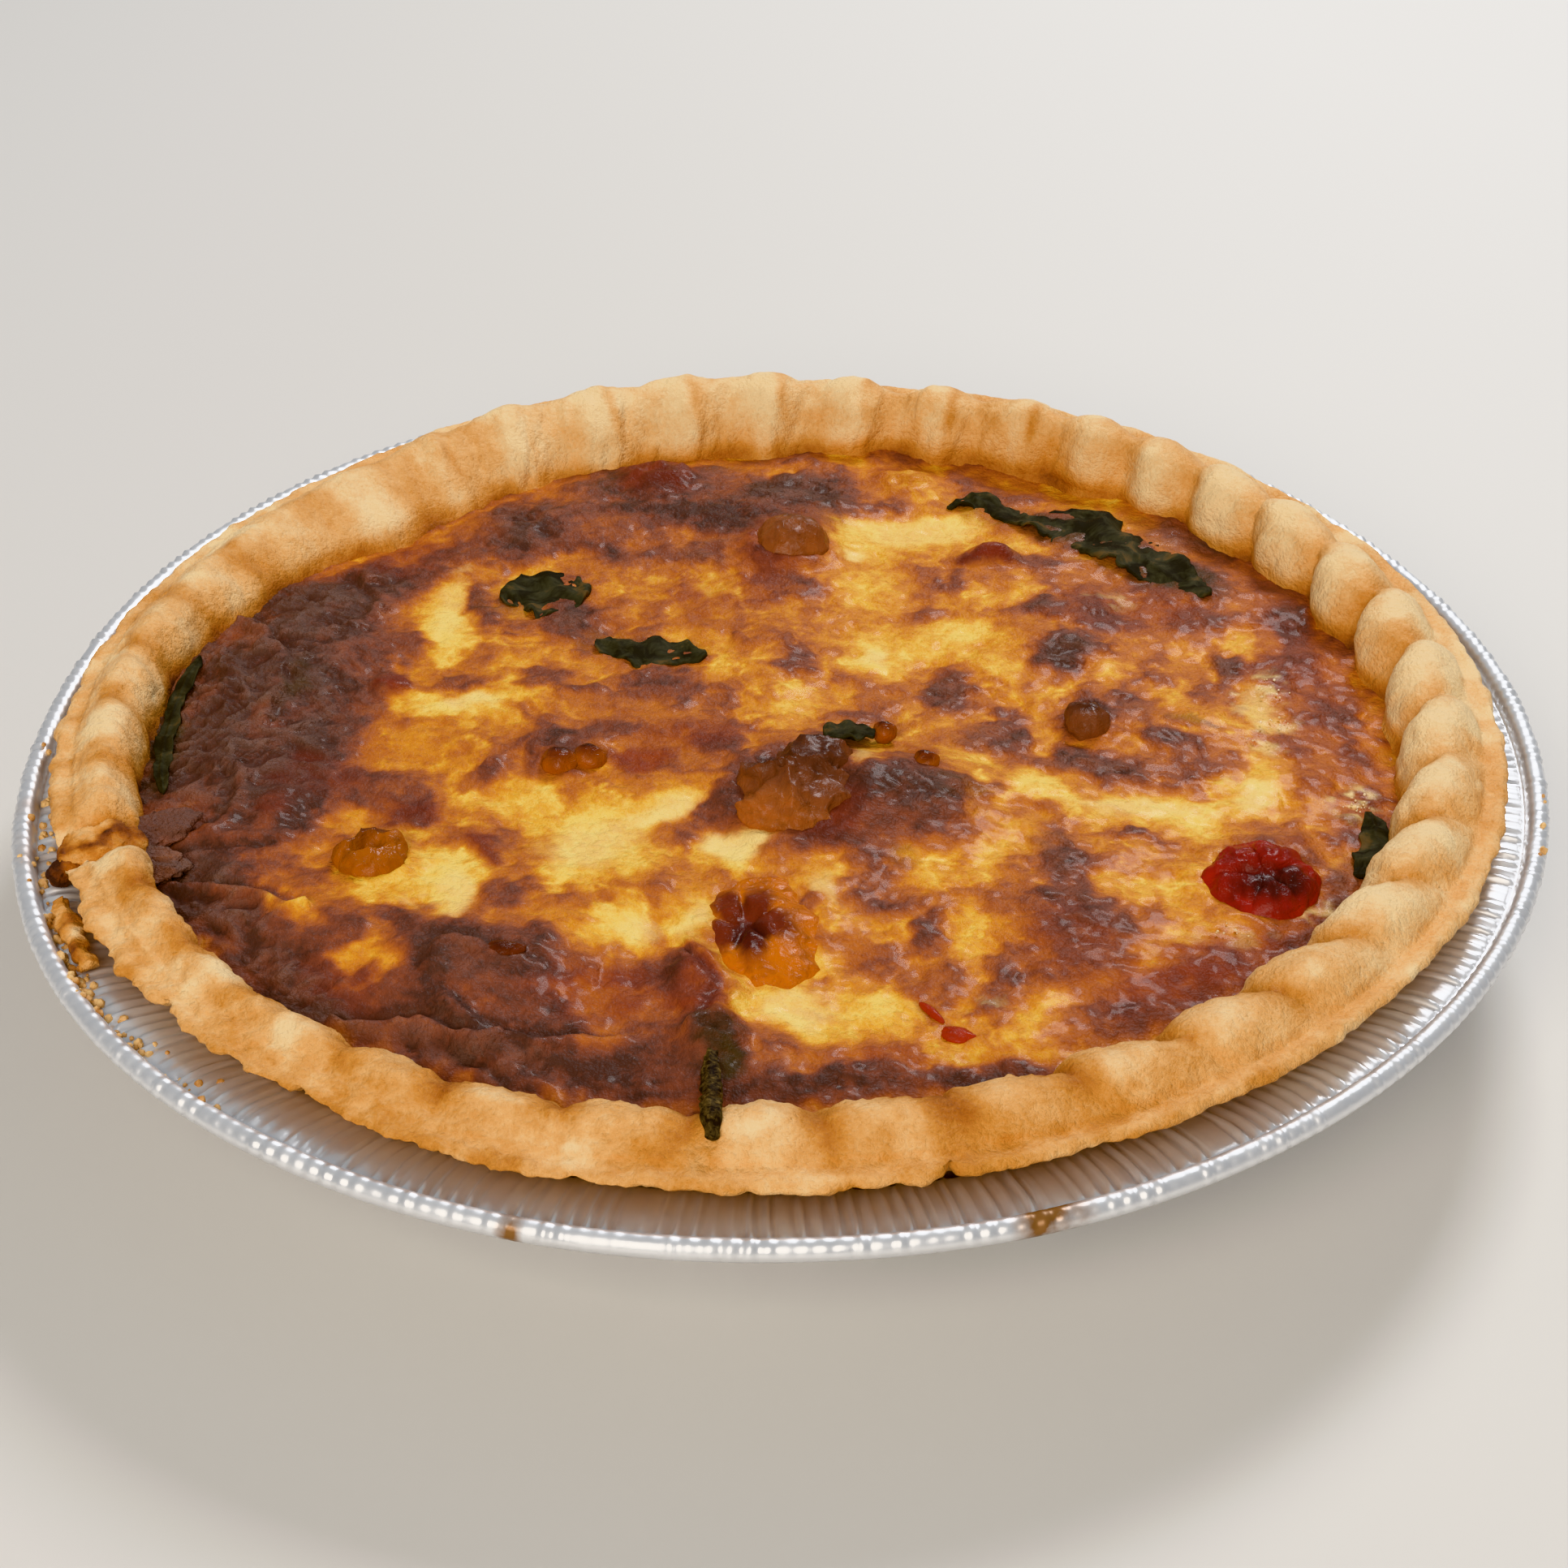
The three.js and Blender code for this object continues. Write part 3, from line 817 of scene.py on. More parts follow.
STALK = PlantMatter("dried_stalk", dark="#21160f", light="#54452c", dry="#7a6540", fibre_mm=0.9)
CRUST_CRUMBS = Crumbs("pastry_crumbs", dark="#b98046", light="#ecc68a")
CHEESE_SPECKS = Crumbs("dried_cheese", dark="#d8b480", light="#f6e6c6")


# ---- foil


@dataclass
class FoilTin:
    """The fluted foil pan, with a fine-pleated flange and a rolled bead."""

    flat_radius: float = 62  # the base is one flat fan of faces within it
    base_radius: float = 88
    wall_top: float = 106
    rim_radius: float = 122
    depth: float = 27
    flange_rise: float = 2.2
    foil: float = 0.4
    bead_radius: float = 1.6
    pleats: int = 322
    pleat_depth: float = 0.8
    nicks: int = 322
    nick_depth: float = 0.42
    drift: float = 0.7  # how far pleats wander, as a share of a pleat
    drift_mm: float = 14
    columns: int = 1932
    flange_top: Rows = ((109, 27.3), (110, 27.7), (112, 28.3), (114, 28.75), (116, 28.9),
                        (117.4, 28.75))
    dent: tuple[float, float, float] = (172, 58, 4.8)  # azimuth, half-width, depth

    def profile(self) -> Array:
        """Stations from the middle of the underside round the bead to the middle inside.

        Returns:
            Rows of radius, height, pleat outwards, pleat upwards, nick strength.
        """
        roll_r = self.rim_radius - self.bead_radius
        roll_z = self.depth + self.flange_rise
        lean_out, lean_up = 0.83, -0.56  # outwards across the sloping wall
        rows = [(self.flat_radius, 0, 0, 0, 0), (self.base_radius - 1, 0, 0, 0, 0),
                (self.base_radius + 0.2, 0.2, 0, 0, 0), (self.base_radius + 1.4, 1.2, 0.3, -0.2, 0)]
        wall = np.linspace((self.base_radius + 2.2, 2.6), (self.wall_top - 0.6, 24.6), 7)
        rows += [(r, z, lean_out, lean_up, 0) for r, z in wall]
        rows += [(self.wall_top + 0.4, 26.2, 0.4, 0.5, 0), (self.wall_top + 2.2, 26.8, 0, 1, 0)]
        rows += [(r, z, 0, 1, 0) for r, z in ((110, 27.4), (113, 28.1), (116, 28.4), (117.8, 28.2))]
        for turn in np.linspace(-110, 150, 9):
            angle = math.radians(turn)
            r = roll_r + self.bead_radius * math.cos(angle)
            z = roll_z + self.bead_radius * math.sin(angle)
            rows.append((r, z, 0, 0.1, 1))
        rows += [(roll_r - 1.75, roll_z - 0.3, 0, 0.1, 0.2),
                 (roll_r - 1.95, roll_z - 0.95, 0, 0.1, 0), (roll_r - 2.3, roll_z - 0.6, 0, 0.4, 0)]
        folds = (0.8, 0.8, 0.9, 1.1, 1.2, 1.1)
        rows += [(r, z, 0, fold, 0) for (r, z), fold in zip(self.flange_top, folds)][::-1]
        rows += [(self.wall_top + 1, self.depth - 0.2, 0.3, 0.6, 0)]
        inner = np.linspace((self.wall_top - 1.0, 24.8), (self.base_radius + 1.6, 2.4), 3)
        rows += [(r, z, lean_out, lean_up, 0) for r, z in inner]
        rows += [(r, self.foil, 0, 0, 0) for r in (self.base_radius - 1, self.flat_radius)]
        return np.array(rows, float)

    def pleat_tree(self) -> GeometryNodeTree:
        """Pleats and nicks that run round the rim, each a little unlike the next.

        Returns:
            The tree.
        """
        tree = new_tree("Foil pleats", {
            "Pleats": ("NodeSocketInt", 300), "Pleat depth": ("NodeSocketFloat", 0.0005),
            "Nicks": ("NodeSocketInt", 150), "Nick depth": ("NodeSocketFloat", 0.0004),
            "Drift": ("NodeSocketFloat", 0.6), "Seed": ("NodeSocketInt", 3),
            "Material": ("NodeSocketMaterial", None),
        })
        source = add_node(tree, "NodeGroupInput").outputs
        place = outlet(tree, "GeometryNodeInputPosition")
        parts = add_node(tree, "ShaderNodeSeparateXYZ", {"Vector": place}).outputs
        turn: Setting = parts["Y"]
        for operation, other in (("ARCTAN2", parts["X"]), ("DIVIDE", 2 * math.pi), ("ADD", 0.5)):
            turn = outlet(tree, "ShaderNodeMath", {"Value": turn, "Value_001": other},
                          operation=operation)
        sway = outlet(tree, "ShaderNodeTexNoise", {"Vector": place, "Scale": per_mm(self.drift_mm)})
        drift = outlet(tree, "ShaderNodeMath", {"Value": sway, "Value_001": source["Drift"]},
                       operation="MULTIPLY")
        offsets = []
        for kind, count, depth, seed_step, sharp in (
            ("pleat", source["Pleats"], source["Pleat depth"], 0, 2.2),
            ("nick", source["Nicks"], source["Nick depth"], 5, 0.7),
        ):
            phase: Setting = turn
            for operation, other in (("MULTIPLY", count), ("ADD", drift)):
                phase = outlet(tree, "ShaderNodeMath", {"Value": phase, "Value_001": other},
                               operation=operation)
            which = outlet(tree, "ShaderNodeMath", {"Value": phase}, operation="FLOOR")
            seed = outlet(tree, "ShaderNodeMath", {"Value": source["Seed"], "Value_001": seed_step})
            size = outlet(tree, "FunctionNodeRandomValue", {
                "Min": 0.0, "Max": 1.5, "ID": which, "Seed": seed,
            }, data_type="FLOAT")
            reach = phase
            for operation, other in (("PINGPONG", 0.5), ("MULTIPLY", 2.0), ("POWER", sharp),
                                     ("SUBTRACT", 0.5), ("MULTIPLY", size), ("MULTIPLY", depth)):
                reach = outlet(tree, "ShaderNodeMath", {"Value": reach, "Value_001": other},
                               operation=operation)
            along = outlet(tree, "GeometryNodeInputNamedAttribute", {"Name": kind},
                           data_type="FLOAT_VECTOR")
            offsets.append(outlet(tree, "ShaderNodeVectorMath", {
                "Vector": along, "Scale": reach,
            }, operation="SCALE"))
        offset = outlet(tree, "ShaderNodeVectorMath", {
            "Vector": offsets[0], "Vector_001": offsets[1],
        })
        moved = outlet(tree, "GeometryNodeSetPosition", {
            "Geometry": source["Geometry"], "Offset": offset,
        })
        end_tree(tree, moved, source["Material"])
        return tree

    def dent_at(self, azimuth: Array, radius: Array) -> Array:
        """How far the dent pushes the pan in.

        Args:
            azimuth: Places round the pan, in degrees.
            radius: Their radius before the dent.

        Returns:
            The push in mm.
        """
        middle, half_width, depth = self.dent
        reach = smoothstep(self.wall_top, self.rim_radius - 4, radius)
        return depth * reach * bell(azimuth, middle, half_width)

    def flange_height(self, radius: Array) -> Array:
        """Top of the flange, without its pleats, at a radius as if there were no dent."""
        return np.interp(radius, *np.transpose(self.flange_top))

    def build(self) -> None:
        """Makes the pan."""
        rows = self.profile()[:, None, :]
        azimuth = columns_round(self.columns)[None, :]
        radius, height = rows[..., 0], rows[..., 1]
        bent = radius - self.dent_at(azimuth, radius)
        ring = polar(azimuth, bent, height)
        sway = noise(polar(azimuth, 60, 0), 22, 3) * smoothstep(110, 121, radius)
        ring[..., 2] += 0.35 * sway
        outwards = polar(azimuth, 1, 0)
        upwards = np.array([0.0, 0.0, 1.0])
        pleat = outwards * rows[..., 2, None] + upwards * rows[..., 3, None]
        turned = polar(azimuth, 0.75, 0.65)
        nick = turned * rows[..., 4, None] + 0 * ring
        burnt = noise(ring, 9, 5) * 0.5 + 0.5
        left = 0.75 * bell(azimuth, 196, 22) + 0.5 * bell(azimuth, 168, 12)
        drips = 0.9 * bell(azimuth, 287, 5) + 0.9 * bell(azimuth, 254, 1.6)
        on_bead = smoothstep(117.5, 119, radius) * (height > 27)
        smudge = left * burnt * (radius > 108) + drips * on_bead + 0 * azimuth

        shape = cap_rings(ring, (0, 0, 0), (0, 0, self.foil), pleat=(pleat, 0, 0),
                          nick=(nick, 0, 0), smudge=(smudge, 0, 0))
        tin = shape.to_object("tin")
        run_tree(tin, self.pleat_tree(), {
            "Pleats": self.pleats, "Pleat depth": self.pleat_depth * MM,
            "Nicks": self.nicks, "Nick depth": self.nick_depth * MM,
            "Drift": self.drift, "Seed": 3, "Material": FOIL.material(),
        })
        hand_over(tin, "foil", "foil_tin")


# ---- crust


@dataclass
class Crust:
    """The pastry case: crimped like a rope on the right, crumbling at the front left."""

    crimps: int = 39
    first_crevice: float = 125.6
    columns_per_crimp: int = 30
    rows: int = 66
    wall_columns_per_crimp: int = 5
    thickness: float = 4.5
    clear: float = 1.05
    base: tuple[float, float] = (88, 0.75)  # radius within the tin's foil, height
    outer_wall: Rows = ((88.6, 2.65), (105.1, 26.4), (107.85, 28.0))
    hidden_toast: float = 0.35
    # Radius, height, swell outwards, swell upwards, share of foot reach, share of lip reach.
    section: Rows = (
        (97.4, 29.2, -0.9, 0.0, 1.0, 0.0), (98.2, 32.2, -1.3, 0.1, 0.8, 0.0),
        (99.6, 35.3, -1.4, 0.4, 0.5, 0.0), (102.0, 37.9, -1.0, 0.8, 0.2, 0.1),
        (105.0, 39.0, 0.0, 1.0, 0.0, 0.3), (107.6, 38.1, 0.5, 0.8, 0.0, 0.5),
        (109.8, 36.1, 0.5, 0.5, 0.0, 0.8), (111.2, 34.7, 0.1, 0.1, 0.0, 1.0),
        (113.6, 35.2, 0.0, 0.0, 0.0, 1.0), (114.2, 33.7, 0.0, 0.0, 0.0, 1.0),
        (110.8, 31.8, 0.0, 0.0, 0.0, 0.6),
    )
    swell: Table = ((0, 2.6), (35, 2.4), (65, 2.3), (90, 2.0), (112, 1.8), (132, 0.9),
                    (150, 0.5), (190, 0.5), (215, 0.8), (250, 1.2), (285, 1.5), (315, 2.0),
                    (340, 2.4))
    slant: Table = ((0, 0.7), (45, 0.25), (90, 0.0), (180, 0.0), (270, 0.2), (330, 0.8))
    plain_edge: Table = ((0, 0.0), (120, 0.2), (150, 1.0), (225, 1.0), (262, 0.5), (300, 0.2),
                         (330, 0.0))
    toasting: Table = ((0, 0.2), (60, 0.2), (100, 0.12), (140, 0.2), (200, 0.34),
                       (250, 0.41), (300, 0.37), (330, 0.23))
    lag: Table = ((0, 0.0), (38, 0.0), (66, 0.3), (128, 0.3), (160, 0.0))  # in crimps
    peaked: Table = ((0, 0.85), (35, 0.9), (62, 1.7), (82, 2.3), (118, 2.1), (140, 1.3),
                     (165, 1.0), (215, 0.85), (340, 0.85))
    crest_place: Table = ((0, 0.4), (38, 0.42), (64, 0.6), (112, 0.62), (150, 0.52),
                          (250, 0.6), (290, 0.66), (325, 0.5))
    crest_lift: Table = ((0, 0.3), (20, 0.4), (54, 1.3), (77, 0.7), (98, 2.0), (118, 0.8),
                         (133, -1.5), (152, -1.9), (180, -1.0), (206, -2.2), (218, -3.2),
                         (232, -3.6), (246, -3.2), (256, -2.4), (270, -1.0), (290, -0.3),
                         (320, -0.2))
    foot_reach: Table = ((0, 2.4), (45, 1.8), (62, 1.8), (76, 0.0), (92, -2.8), (112, -4.4),
                         (134, -7.4), (150, -2.6), (174, 1.6), (197, 1.8), (206, 3.8),
                         (214, 4.6), (224, 3.8), (240, 3.2), (256, 1.8), (275, 0.4),
                         (315, 0.4), (335, 2.2))
    lip_reach: Table = ((0, 0.6), (60, 0.2), (110, -0.5), (140, -1.9), (172, -2.3),
                        (200, -2.0), (231, -1.4), (250, -0.2), (300, 0.0), (340, 0.8))
    crumbling: Table = ((0, 0.15), (60, 0.2), (150, 0.3), (190, 0.6), (212, 1.0), (250, 0.9),
                        (275, 0.6), (300, 0.3), (330, 0.15))
    burst: tuple[float, float, float] = (200.5, 4.5, 4.4)  # azimuth, half-width, drop
    cracks: Table = ((281.5, 0.5), (236.0, 0.6), (222.0, 0.4))

    def floor(self) -> tuple[float, float]:
        """Radius and height of the corner between the case's floor and its inner wall."""
        radius, height = self.base
        return radius - self.clear - self.thickness, height + self.thickness

    def inner_wall(self, azimuth: Array, height: float) -> Array:
        """Radius of the case's inner wall, which the filling fills.

        Args:
            azimuth: Places round the case, in degrees.
            height: Their height.

        Returns:
            The radius at each place.
        """
        floor_radius, floor_height = self.floor()
        foot_radius, foot_height = self.section[0][:2]
        climb = (height - floor_height) / (foot_height - floor_height)
        foot = foot_radius + around(self.foot_reach, azimuth)
        return floor_radius + (foot - floor_radius) * climb

    def phase(self, azimuth: Array, station: Array) -> Array:
        """Place within a crimp.

        Args:
            azimuth: Places round the rim, in degrees.
            station: Places along the section.

        Returns:
            Values from 0 at one crevice to 1 at the next, clockwise.
        """
        slant = around(self.slant, azimuth) * (station - 3)
        turns = (self.first_crevice - azimuth + slant) * self.crimps / 360
        turns = turns - around(self.lag, azimuth)
        return turns - np.floor(turns)

    def crimp(self, azimuth: Array, station: Array) -> Array:
        """How much a crimp stands out.

        Args:
            azimuth: Places round the rim, in degrees.
            station: Places along the section.

        Returns:
            Values from 0 in a crevice to 1 on a crest.
        """
        phase = self.phase(azimuth, station)
        place = around(self.crest_place, azimuth)
        part = np.where(phase < place, phase / place, (1 - phase) / (1 - place))
        return np.sin(part * math.pi / 2) ** around(self.peaked, azimuth)

    def rim(self, station: Array, azimuth: Array) -> Array:
        """Points of the rim before its fine relief.

        Args:
            station: Places along the section, from 0 at the foot.
            azimuth: Places round the rim.

        Returns:
            An array of stations by azimuths by x, y, z.
        """
        rows = spline(np.array(self.section), station)[:, None, :]
        radius, height, outwards, upwards, foot, lip = np.moveaxis(rows, -1, 0)
        wobble = 1 + 0.35 * noise(polar(azimuth, 40, 0), 9, 21)
        crimp = self.crimp(azimuth, station[:, None])
        swell = around(self.swell, azimuth) * (crimp - 0.6) * wobble
        reach = foot * around(self.foot_reach, azimuth) + lip * around(self.lip_reach, azimuth)
        rise = smoothstep(31, self.section[4][1], height)
        filled = np.exp(-(((station - 6.6) / 0.9) ** 2))[:, None] * around(self.plain_edge, azimuth)
        middle, half_width, drop = self.burst
        lift = rise * (around(self.crest_lift, azimuth) - drop * bell(azimuth, middle, half_width))
        lift = lift + 0.9 * filled
        return polar(azimuth, radius + reach + outwards * swell, height + upwards * swell + lift)

    def roughen(self, grid: Array, station: Array, azimuth: Array) -> Array:
        """Adds creases, blisters, crumb and the torn lower edge.

        Args:
            grid: The rim's points.
            station: Places along the section, as a column.
            azimuth: Places round the rim, as a row.

        Returns:
            The points with their relief.
        """
        crumble = around(self.crumbling, azimuth)
        normal = -grid_normals(grid)
        inner = smoothstep(5.0, 2.6, station)
        lines = np.stack(np.broadcast_arrays(azimuth * 0.45 + station * 0.25, station * 0.3), -1)
        creases = fractal(lines, 1, 4, 31) - 1.1 * np.maximum(0, ridged(lines, 1.6, 35) - 0.55)
        creases = creases + 0.3 * (ridged(lines * np.array([2.6, 1.0]), 1, 37) - 0.4)
        bumps = 0.55 * fractal(grid, 7, 4, 41) + 0.16 * fractal(grid, 2.2, 2, 45)
        flakes = np.maximum(0, fractal(grid, 2.6, 3, 51)) * 0.9 * crumble
        edge_grain = 2.6 * crumble * smoothstep(4.5, 7.5, station)
        crumb = 0.1 * fractal(grid, 1.3, 2, 61) * (0.6 + edge_grain)
        drawn = np.maximum(crumble, smoothstep(1.0, 2.0, around(self.peaked, azimuth)))
        drawn = (0.25 + 0.75 * inner) * (0.45 + 0.55 * drawn) * creases
        relief = bumps + flakes + crumb + drawn
        moved = grid + normal * (relief * smoothstep(-0.2, 0.6, station))[..., None]
        edge = smoothstep(7.6, 8.6, station)
        outwards = polar(azimuth, 1, 0)
        torn = fractal(polar(azimuth, 114, 0), 3.2, 4, 71) * (0.35 + 0.9 * crumble)
        for middle, half_width in self.cracks:
            torn = torn - 2.2 * bell(azimuth, middle, half_width)
        moved += outwards * (edge * torn)[..., None]
        moved[..., 2] += edge * 0.5 * fractal(polar(azimuth, 114, 9), 2.2, 3, 81) * crumble
        return moved

    def toast(self, grid: Array, station: Array, azimuth: Array) -> Array:
        """How brown the pastry is, with painted light on the crimps' crests and painted shade in
        their crevices, just past each crest and in the groove.

        Args:
            grid: The rim's points.
            station: Places along the section, as a column.
            azimuth: Places round the rim, as a row.

        Returns:
            Values from 0 for pale to 1 for burnt.
        """
        crumble = around(self.crumbling, azimuth)
        foot = 0.42 * smoothstep(1.3, 0.0, station)
        # Painted shade: darker along the groove below the lip.
        groove_shade = 0.05 * np.exp(-(((station - 7.0) / 0.5) ** 2)) * smoothstep(0.9, 0.4, crumble)
        lip = 0.03 * smoothstep(7.4, 8.4, station)
        peaked = around(self.peaked, azimuth)
        upper = smoothstep(6.5, 4.0, station)
        # Painted shade and light: darker in the crevices between the crimps, lighter on their
        # crests.
        crevice = 0.26 / peaked ** 1.7 * (0.75 - self.crimp(azimuth, station)) * upper
        # Painted light and shade: lighter just before each crest and darker just past it, as if
        # light fell across the crimps from one side.
        past = self.phase(azimuth, station) - around(self.crest_place, azimuth)
        crimp_light_and_shade = 0.24 * np.exp(-(((past - 0.1) / 0.07) ** 2))
        crimp_light_and_shade = crimp_light_and_shade - 0.08 * np.exp(-(((past + 0.14) / 0.12) ** 2))
        crimp_light_and_shade = crimp_light_and_shade * (0.7 + 0.9 * noise(grid, 5, 99)) * smoothstep(1.0, 2.0, peaked) * upper
        patches = 0.26 * fractal(grid, 14, 4, 91) + 0.24 * crumble * fractal(grid, 5, 4, 95)
        middle, half_width, _ = self.burst
        burnt = 0.5 * bell(azimuth, middle, half_width * 0.9) * smoothstep(7, 5, station)
        dust_and_crest_light = -0.16 * smoothstep(0.05, 0.5, fractal(grid, 6, 4, 97)) * smoothstep(2, 4, station)
        # Painted light: the crests of the crimps are lighter.
        dust_and_crest_light = dust_and_crest_light - 0.07 * smoothstep(0.3, 1.0, self.crimp(azimuth, station))
        base = around(self.toasting, azimuth)
        return base + foot + groove_shade + lip + crevice + crimp_light_and_shade + patches + burnt + dust_and_crest_light

    def build(self) -> None:
        """Makes the pastry case."""
        azimuth = columns_round(self.crimps * self.columns_per_crimp)[None, :]
        station = np.linspace(0, len(self.section) - 1, self.rows)
        grid = self.rim(station, azimuth)
        grid = self.roughen(grid, station[:, None], azimuth)
        toast = self.toast(grid, station[:, None], azimuth)
        few = self.crimps * self.wall_columns_per_crimp
        low = columns_round(few)
        floor_radius, floor_height = self.floor()
        below = [polar(low, r - self.clear, z) for r, z in (self.base, *self.outer_wall)]
        floor = polar(low, floor_radius, floor_height)
        poles = np.array([[[0, 0, self.base[1]]], [[0, 0, floor_height]]])
        rings = [poles[0], *below, *grid[::-1], floor, poles[1]]
        hidden = np.full(1 + len(below) * few, self.hidden_toast)
        values = np.concatenate([hidden, toast[::-1].ravel(), hidden[:few + 1]])
        shape = Shape(np.concatenate(rings), stack_rings([len(r) for r in rings]),
                      {"toast": values})
        crust = shape.to_object("pastry_crust", PASTRY)
        hand_over(crust, "crust", "pastry_shell")


# ---- filling


@dataclass(frozen=True)
class Patch:
    """A soft-edged oval on the filling, in mm."""

    x: float
    y: float
    rx: float
    ry: float
    strength: float = 1
    turn: float = 0

    def cover(self, places: Array) -> Array:
        """How much of the patch lies on each place.

        Args:
            places: Points, x and y.

        Returns:
            Values from 0 to the patch's strength.
        """
        angle = math.radians(self.turn)
        dx, dy = places[..., 0] - self.x, places[..., 1] - self.y
        u = (dx * math.cos(angle) + dy * math.sin(angle)) / self.rx
        v = (dy * math.cos(angle) - dx * math.sin(angle)) / self.ry
        return self.strength * smoothstep(1.45, 0.45, np.hypot(u, v))


P = Patch  # a short name for the long tables


@dataclass(frozen=True)
class Crease:
    """A long fold of dried skin that stands up on the left of a crack, seen along its route."""

    route: Rows  # x, y
    rise: float = 0.9

    def across(self, places: Array) -> Array:
        """How far places lie from the crack.

        Args:
            places: Points, x and y.

        Returns:
            Distances in mm, more than 0 on the raised side.
        """
        rows = np.array(self.route, float)
        rows = spline(rows, np.linspace(0, len(rows) - 1, 5 * len(rows)))
        best = np.full(places.shape[:-1], 99.0)
        for start, end in zip(rows[:-1], rows[1:]):
            along = end - start
            gap = places - start
            share = np.clip(gap @ along / (along @ along), 0, 1)
            gap = gap - share[..., None] * along
            away = np.hypot(gap[..., 0], gap[..., 1])
            side = np.where(along[0] * gap[..., 1] > along[1] * gap[..., 0], 1.0, -1.0)
            best = np.where(away < np.abs(best), away * side, best)
        return best


def crease_all(creases: Sequence[Crease], places: Array) -> tuple[Array, Array]:
    """How strongly places lie on the raised side of folds, and in their cracks.

    Args:
        creases: The folds.
        places: Points, x and y.

    Returns:
        The share of the raised side and the share of the crack at each place.
    """
    bent = places + 1.1 * noise(places, 4.5, 191)[:, None]
    raised, cracked = np.zeros(len(places)), np.zeros(len(places))
    for crease in creases:
        away = crease.across(bent)
        raised = raised + crease.rise * np.exp(-(((away - 1.7) / 1.5) ** 2))
        cracked = cracked + crease.rise * np.exp(-(((away + 0.3) / 0.85) ** 2))
    return raised, cracked


def cover_all(patches: Sequence[Patch], places: Array) -> Array:
    """Several patches as one, with overlaps joined softly.

    Args:
        patches: The patches.
        places: Points, x and y.

    Returns:
        How much of them lies on each place, from 0 to 1.
    """
    clear = np.ones(places.shape[:-1])
    for patch in patches:
        clear = clear * (1 - np.clip(patch.cover(places), 0, 0.98))
    return 1 - clear


# Where the custard and the cheese have stayed yellow.
YELLOW = (
    P(-54.5, 36, 4.4, 14, 1, 5), P(-52, 24, 4, 5, 0.7), P(-44, 48.5, 2.6, 4, 0.7, -20),
    P(-49, 6, 7, 4, 1, 5), P(-58, 7, 5, 4, 0.6), P(-42, 9, 3, 5, 0.35, 10),
    P(-12, 25.5, 6, 4.4, 0.8, -20), P(-8, 17, 2.6, 6, 0.6), P(-27, -30, 10, 10, 1, 35),
    P(-18, -23, 11, 4, 1, 32), P(-26, -39, 8, 5, 0.95, 10), P(-41, -19, 10, 3.4, 0.7, 12),
    P(-36, -24, 6, 5, 0.6, 30), P(-5.5, -34.5, 4.6, 4.4), P(-48, -44, 5.4, 10, 1, 12),
    P(-57, -43, 6, 4, 0.7, -20), P(-55, -30, 8, 2.6, 0.6, 10), P(-66, -27, 4, 4, 0.5),
    P(-20, -53.5, 9, 5, 0.9, -12), P(-11, -50, 3.4, 8, 0.75, 5), P(9, -74, 12, 6, 1, 3),
    P(0, -72, 5, 5, 0.7), P(17, -75, 6, 5, 0.8, 40), P(28, 65, 14, 8, 1, 8), P(15, 61, 6, 4, 0.8),
    P(44, 59, 9, 3.4, 0.85, -12), P(38, 57, 5, 3.4, 0.8), P(18, 44, 8, 11, 0.8, 5),
    P(26, 27, 16, 7, 1, 4), P(17, 21, 5, 7, 0.85, -25), P(38, 21, 4, 8, 0.65), P(14, 32, 6, 4, 0.4),
    P(45, 44, 3.6, 4.4, 0.65), P(78, 26, 2.4, 4.6, 0.65), P(80, 4, 3.6, 9, 0.75, 10),
    P(78, -13, 4, 9, 0.75), P(74, -22, 6, 6), P(58, -24.5, 17, 4.6, 1, -8),
    P(42, -19, 6, 4, 0.95, -25), P(34, -10, 3, 5, 0.4, 20), P(15, -15, 4, 5, 0.8),
    P(66, -31, 8, 2.6, 0.6, -5), P(3, 4, 4, 6, 0.55), P(8, 9, 5, 3, 0.4, -20),
    P(43, -4, 2.6, 7, 0.55, 8), P(66, 3, 4, 4, 0.4), P(56, 10, 3, 6, 0.35),
    P(52, -46, 4, 4.6, 0.75), P(34, -34, 4.4, 6, 0.5), P(29, -57, 3.6, 8, 0.55, 5),
    P(7, -45, 3, 7, 0.65, 40), P(13, -53, 6, 3, 0.45, -20), P(4, -63, 6, 4, 0.5),
    P(-58.6, -64, 3.2, 6.6, 0.5, 12), P(22, -44, 5, 4, 0.35), P(47, 85, 10, 4, 0.5, -14),
    P(28, 81, 6, 8, 0.45), P(-16, 63.5, 5, 2.4, 0.45), P(-10, 46, 4, 4, 0.5),
    P(-52, 51, 5, 2, 0.45, -30), P(-30, 5, 8, 3, 0.3), P(0, 88, 9, 2.4, 0.45),
    P(62, -58, 7, 3.4, 0.45, 10), P(-40, 24, 3, 7, 0.35), P(8, 36, 6, 4, 0.3),
    P(85, -28, 4, 5, 0.35), P(-52, -10, 9, 3, 0.35, 12), P(62, 40, 2.4, 3.4, 0.4),
    P(36, -75, 5, 4, 0.35, 20), P(-2, -39, 6, 2.6, 0.6), P(24, -80, 8, 2.6, 0.3, 6),
)
